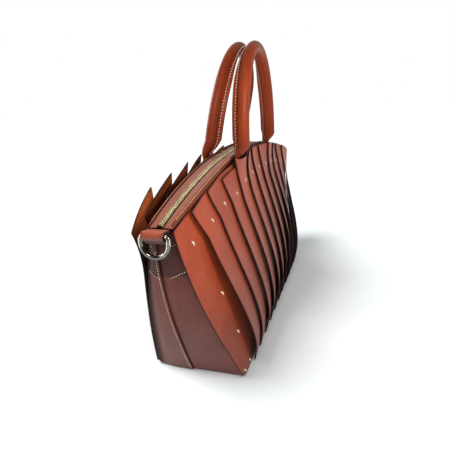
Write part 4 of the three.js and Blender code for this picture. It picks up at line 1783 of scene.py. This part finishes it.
@dataclass
class Rings:
    """A D-ring at each end, swinging in a leather tab that is rolled round its bar.

    Attributes:
        bar_x: Place of the bar along the bag, and bar_z its height.
        wire: Radius of the ring's wire.
        half_width: Half the width of the ring, to the middle of its wire.
        drop: How far under the bar its bow begins.
        corner: Radius of its corners.
        bore: Radius of the tab's inner face round the bar.
        wrap: How far the tab goes round the bar both ways, in degrees.
        tail: Place along X and height of the tab's end over the zip, and foot of its end on the gusset.
    """

    bar_x: float = 212.5
    bar_z: float = 149.0
    wire: float = 1.6
    half_width: float = 10.3
    drop: float = 4.9
    corner: float = 2.6
    wire_sides: int = 24
    loop_steps: int = 120
    tab_half_width: float = 8.2
    tab_wall: float = 1.6
    tab_steps: int = 56
    bore: float = 1.95
    wrap: float = 112.0
    tail: Span = (203.2, 149.6)
    foot: Span = (207.8, 142.5)
    edge: float = 0.4

    def loop(self) -> Array:
        """Course of the wire: a bar with two quarter-round corners, straight sides and a half-round bow.

        Returns:
            Evenly spaced points by y and z, from the middle of the bar.
        """
        quarter = np.linspace(0.0, 0.5 * np.pi, 9)
        half_turn = np.linspace(0.0, np.pi, 41)
        inner = self.half_width - self.corner
        right = np.stack([inner + self.corner * np.sin(quarter),
                          self.corner * (np.cos(quarter) - 1.0)], axis=1)
        bow = np.stack([self.half_width * np.cos(half_turn),
                        -self.drop - self.half_width * np.sin(half_turn)], axis=1)
        left = (right * [-1.0, 1.0])[::-1]
        bar = np.stack([np.linspace(-inner, inner, 9), np.zeros(9)], axis=1)
        corners = np.concatenate([right, bow, left, bar[1:]])
        return along_path(corners, np.linspace(0.0, path_length(corners), self.loop_steps + 1)[:-1])

    def ring(self, end: End) -> Shell:
        """The wire: a circle carried round the loop.

        Args:
            end: End of the bag.

        Returns:
            The closed wire.
        """
        path = self.loop()
        ahead = unit(np.roll(path, -1, axis=0) - np.roll(path, 1, axis=0))
        turn = full_turn(self.wire_sides)
        reach = self.wire * np.cos(turn)
        return tube(points(end.value * (self.bar_x + self.wire * np.sin(turn)),
                           path[:, [0]] - ahead[:, [1]] * reach,
                           self.bar_z + path[:, [1]] + ahead[:, [0]] * reach), closed=True)

    def strap(self) -> tuple[Array, Array]:
        """Course of the tab: its tail, round the bar, and down to its foot.

        Returns:
            Evenly spaced points by x and z, and the direction outwards at each.
        """
        angle = np.radians(np.linspace(self.wrap, -self.wrap, 33))
        out = np.stack([np.cos(angle), np.sin(angle)], axis=1)
        round_bar = np.array([self.bar_x, self.bar_z]) + self.bore * out
        course = np.concatenate([[self.tail], round_bar, [self.foot]])
        outward = np.concatenate([[[0.0, 1.0]], out, [[1.0, 0.0]]])
        places = np.linspace(0.0, path_length(course), self.tab_steps + 1)
        return along_path(course, places), unit(along_path(course, places, outward))

    def tab(self, end: End) -> Shell:
        """The tab: its course carried across the width, one wall thick.

        Args:
            end: End of the bag.

        Returns:
            The closed sheet.
        """
        course, outward = self.strap()
        y = lerp(-1.0, 1.0, edged_steps(10, edge=0.03))[None, :] * self.tab_half_width
        faces = [course + outward * offset for offset in (self.tab_wall, 0.0)]
        return leaf(*(points(end.value * face[:, [0]], y, face[:, [1]]) for face in faces))

    def build(self) -> None:
        """Makes the tabs, and the rings on their own bodies."""
        for end in End:
            tab, ring = f"ring_tab_{end.label}", f"d_ring_{end.label}"
            add_piece(f"{tab}_strap", self.tab(end), [TAB_HIDE_LIT_AND_SHADED, EDGE], [tab], edge=self.edge)
            add_piece(f"{ring}_wire", self.ring(end), [NICKEL], [ring], f"{end.label}_ring")


# Studio

HANDLE_ROLLS = ("handle_front_roll", "handle_back_roll")
FIRST_LEAF = ("back_slat_12_leaf",)
SHADED_LEAVES = ("back_slat_11_leaf", "back_slat_10_leaf")
NEAR_RING = ("d_ring_near_wire",)
RING_MIDDLE = (-215.0, 0.0, 140.0)


class Reach(Enum):
    """What a lamp does with the pieces it names."""

    ONLY = "INCLUDE"
    NOT = "EXCLUDE"


def hung(data: bpy.types.Light, ahead: Vector, reach: Reach, names: Sequence[str]) -> bpy.types.Object:
    """Adds a lamp that looks along a direction and lights only some pieces, or leaves some out.

    Args:
        data: The lamp.
        ahead: Where it looks.
        reach: Whether the named pieces are lit alone or left out.
        names: Names of the pieces.

    Returns:
        The lamp, at the origin.
    """
    made = bpy.data.objects.new(data.name, data)
    bpy.context.scene.collection.objects.link(made)
    made.rotation_euler = ahead.to_track_quat("-Z", "Y").to_euler()
    linked = bpy.data.collections.new(f"linked_to_{data.name}")
    for name in names:
        linked.objects.link(bpy.data.objects[name])
    for entry in linked.collection_objects:
        entry.light_linking.link_state = reach.value
    made.light_linking.receiver_collection = linked
    return made


@dataclass(frozen=True)
class SoftBox:
    """A soft lamp for the bag, which leaves the floor out.

    Attributes:
        name: Name of the lamp.
        place: Its middle.
        aim: What it points at.
        size: Its width and height.
        power: Its power in watts.
        beam: Breadth of its beam in degrees.
        reach: Whether the named pieces are lit alone or left out.
        names: Names of those pieces.
    """

    name: str
    place: Point
    aim: Point
    size: Span
    power: float
    beam: float = 180.0
    reach: Reach = Reach.NOT
    names: tuple[str, ...] = ()

    def hang(self) -> None:
        """Adds the lamp, turned to what it lights."""
        data = bpy.data.lights.new(self.name, "AREA")
        data.shape = "RECTANGLE"
        data.energy = self.power
        data.size, data.size_y = (side * MM for side in self.size)
        data.spread = np.radians(self.beam)
        linked = self.names if self.reach is Reach.ONLY else (FLOOR, *self.names)
        made = hung(data, Vector(self.aim) - Vector(self.place), self.reach, linked)
        made.location = Vector(self.place) * MM


@dataclass(frozen=True)
class Skylight:
    """Even light over the whole floor: the way it comes from, its breadth in degrees and its strength."""

    name: str
    source: Point
    breadth: float
    strength: float

    def hang(self) -> None:
        """Adds the light, turned down along its way."""
        data = bpy.data.lights.new(self.name, "SUN")
        data.angle = np.radians(self.breadth)
        data.energy = self.strength
        hung(data, -Vector(self.source), Reach.ONLY, (FLOOR,))


@dataclass
class Studio:
    """Camera at the photograph's angle, soft boxes, a pale surround and a pale floor.

    Attributes:
        focal: Focal length in pixels of the frame.
        frame_width: Width of the frame in pixels.
        sensor: Width of the camera's sensor.
        yaw: Turn of the view from +X towards +Y, in degrees.
        pitch: How far it looks down, in degrees.
        roll: Turn about its own axis, in degrees.
        stand: Place of the camera.
        ambient: Strength of the surround.
        glow: What it has more at the far end, where it is mirrored.
        glow_span: Shares of the way to the far end over which the glow grows.
        floor_half: Half the width of the floor.
        floor_gap: How far it lies under the base.
    """

    focal: float = 420.16
    frame_width: float = 452.0
    sensor: float = 36.0
    yaw: float = 17.888
    pitch: float = 17.365
    roll: float = 2.415
    stand: Point = (-450.0, -127.6, 237.2)
    ambient: float = 0.1
    glow: float = 0.6
    glow_span: Span = (0.0, 0.7)
    floor_half: float = 6000.0
    floor_gap: float = 0.05
    lamps: tuple[SoftBox | Skylight, ...] = (
        Skylight("left_sky", source=(-0.55, 0.67, 1.5), breadth=28.0, strength=3.02),
        Skylight("right_sky", source=(-0.85, -0.4, 1.1), breadth=40.0, strength=1.86),
        SoftBox("front_box", place=(-60.0, -1000.0, 800.0), aim=(-230.0, -25.0, 260.0), size=(300.0, 300.0),
                power=0.45, beam=40.0, names=HANDLE_ROLLS),
        SoftBox("handle_box", place=(-170.0, -120.0, 300.0), aim=(-50.0, 0.0, 230.0), size=(70.0, 70.0),
                power=0.27, reach=Reach.ONLY, names=HANDLE_ROLLS[:1]),
        SoftBox("back_box", place=(200.0, 900.0, 500.0), aim=(0.0, 30.0, 110.0), size=(400.0, 400.0),
                power=6.0),
        SoftBox("top_box", place=(-250.0, 60.0, 900.0), aim=(-60.0, 0.0, 150.0), size=(400.0, 400.0),
                power=0.8),
        SoftBox("near_box", place=(-700.0, -60.0, 560.0), aim=(-150.0, 0.0, 180.0), size=(180.0, 180.0),
                power=2.5, names=(*HANDLE_ROLLS[:1], *FIRST_LEAF, *SHADED_LEAVES)),
        SoftBox("leaf_box", place=(-420.0, -40.0, 420.0), aim=(-190.0, 38.0, 188.0), size=(40.0, 40.0),
                power=0.022, beam=14.0, reach=Reach.ONLY, names=FIRST_LEAF),
        SoftBox("ring_left_box", place=(-357.0, 264.0, 140.0), aim=RING_MIDDLE, size=(60.0, 300.0),
                power=0.8, reach=Reach.ONLY, names=NEAR_RING),
        SoftBox("ring_right_box", place=(-73.0, -264.0, 140.0), aim=RING_MIDDLE, size=(60.0, 300.0),
                power=0.8, reach=Reach.ONLY, names=NEAR_RING),
        SoftBox("ring_top_box", place=(-126.0, 48.0, 422.0), aim=RING_MIDDLE, size=(300.0, 60.0),
                power=0.8, reach=Reach.ONLY, names=NEAR_RING),
    )

    def camera(self) -> None:
        """Sets the camera: a pinhole that looks along yaw and pitch and is rolled about that line."""
        yaw, pitch, roll = np.radians([self.yaw, self.pitch, self.roll])
        ahead = np.array([np.cos(yaw) * np.cos(pitch), np.sin(yaw) * np.cos(pitch), -np.sin(pitch)])
        level = np.array([np.sin(yaw), -np.cos(yaw), 0.0])
        down = np.cross(ahead, level)
        right = np.cos(roll) * level + np.sin(roll) * down
        below = np.cos(roll) * down - np.sin(roll) * level
        data = bpy.data.cameras.new("camera")
        data.sensor_fit = "HORIZONTAL"
        data.sensor_width = self.sensor
        data.lens = self.sensor * self.focal / self.frame_width
        data.clip_start = 0.01
        data.clip_end = 50.0
        made = bpy.data.objects.new("camera", data)
        bpy.context.scene.collection.objects.link(made)
        turned = np.eye(4)
        turned[:3, :3] = np.stack([right, -below, -ahead], axis=1)
        turned[:3, 3] = np.array(self.stand) * MM
        made.matrix_world = Matrix(turned.tolist())
        bpy.context.scene.camera = made

    def surround(self) -> None:
        """Even light from all round: white where seen itself, and brighter at the far end where mirrored."""
        graph = Graph("surround", "worlds")
        seen = graph.node("ShaderNodeLightPath", {}, {}, "Is Camera Ray")
        mirrored = graph.node("ShaderNodeLightPath", {}, {}, "Is Glossy Ray")
        way = graph.node("ShaderNodeTexCoord", {}, {}, "Generated")
        ahead = graph.level(graph.node("ShaderNodeSeparateXYZ", {}, {0: way}), *self.glow_span)
        strength = self.ambient + seen * (1.0 - self.ambient) + mirrored * ahead * self.glow
        sky = graph.node("ShaderNodeBackground", {}, {"Color": (1.0, 1.0, 1.0), "Strength": strength})
        graph.node("ShaderNodeOutputWorld", {}, {"Surface": sky})
        bpy.context.scene.world = graph.made

    def floor(self) -> None:
        """A wide flat floor just under the base: a square grid of points."""
        span = np.linspace(-self.floor_half, self.floor_half, 3)
        grid = points(span[None, :], span[:, None], -self.floor_gap)
        shell = Shell(grid.reshape(-1, 3), [quads(np.arange(9).reshape(3, 3))], [0])
        make_object(FLOOR, shell, [PALE.material])

    def build(self) -> None:
        """Sets up camera, floor, surround and lamps, with plain colour management."""
        bpy.context.scene.view_settings.view_transform = "Standard"
        self.camera()
        self.surround()
        self.floor()
        for lamp in self.lamps:
            lamp.hang()


def main() -> None:
    """Builds every part of the bag and the studio."""
    logging.basicConfig(level=logging.INFO, format="%(name)s %(message)s")
    body = Body()
    parts = (Walls(body), Gussets(body), Slats(body), Zip(body), Plackets(body),
             Handles(), Rings(), Studio())
    for part in parts:
        part.build()


if __name__ == "__main__":
    main()
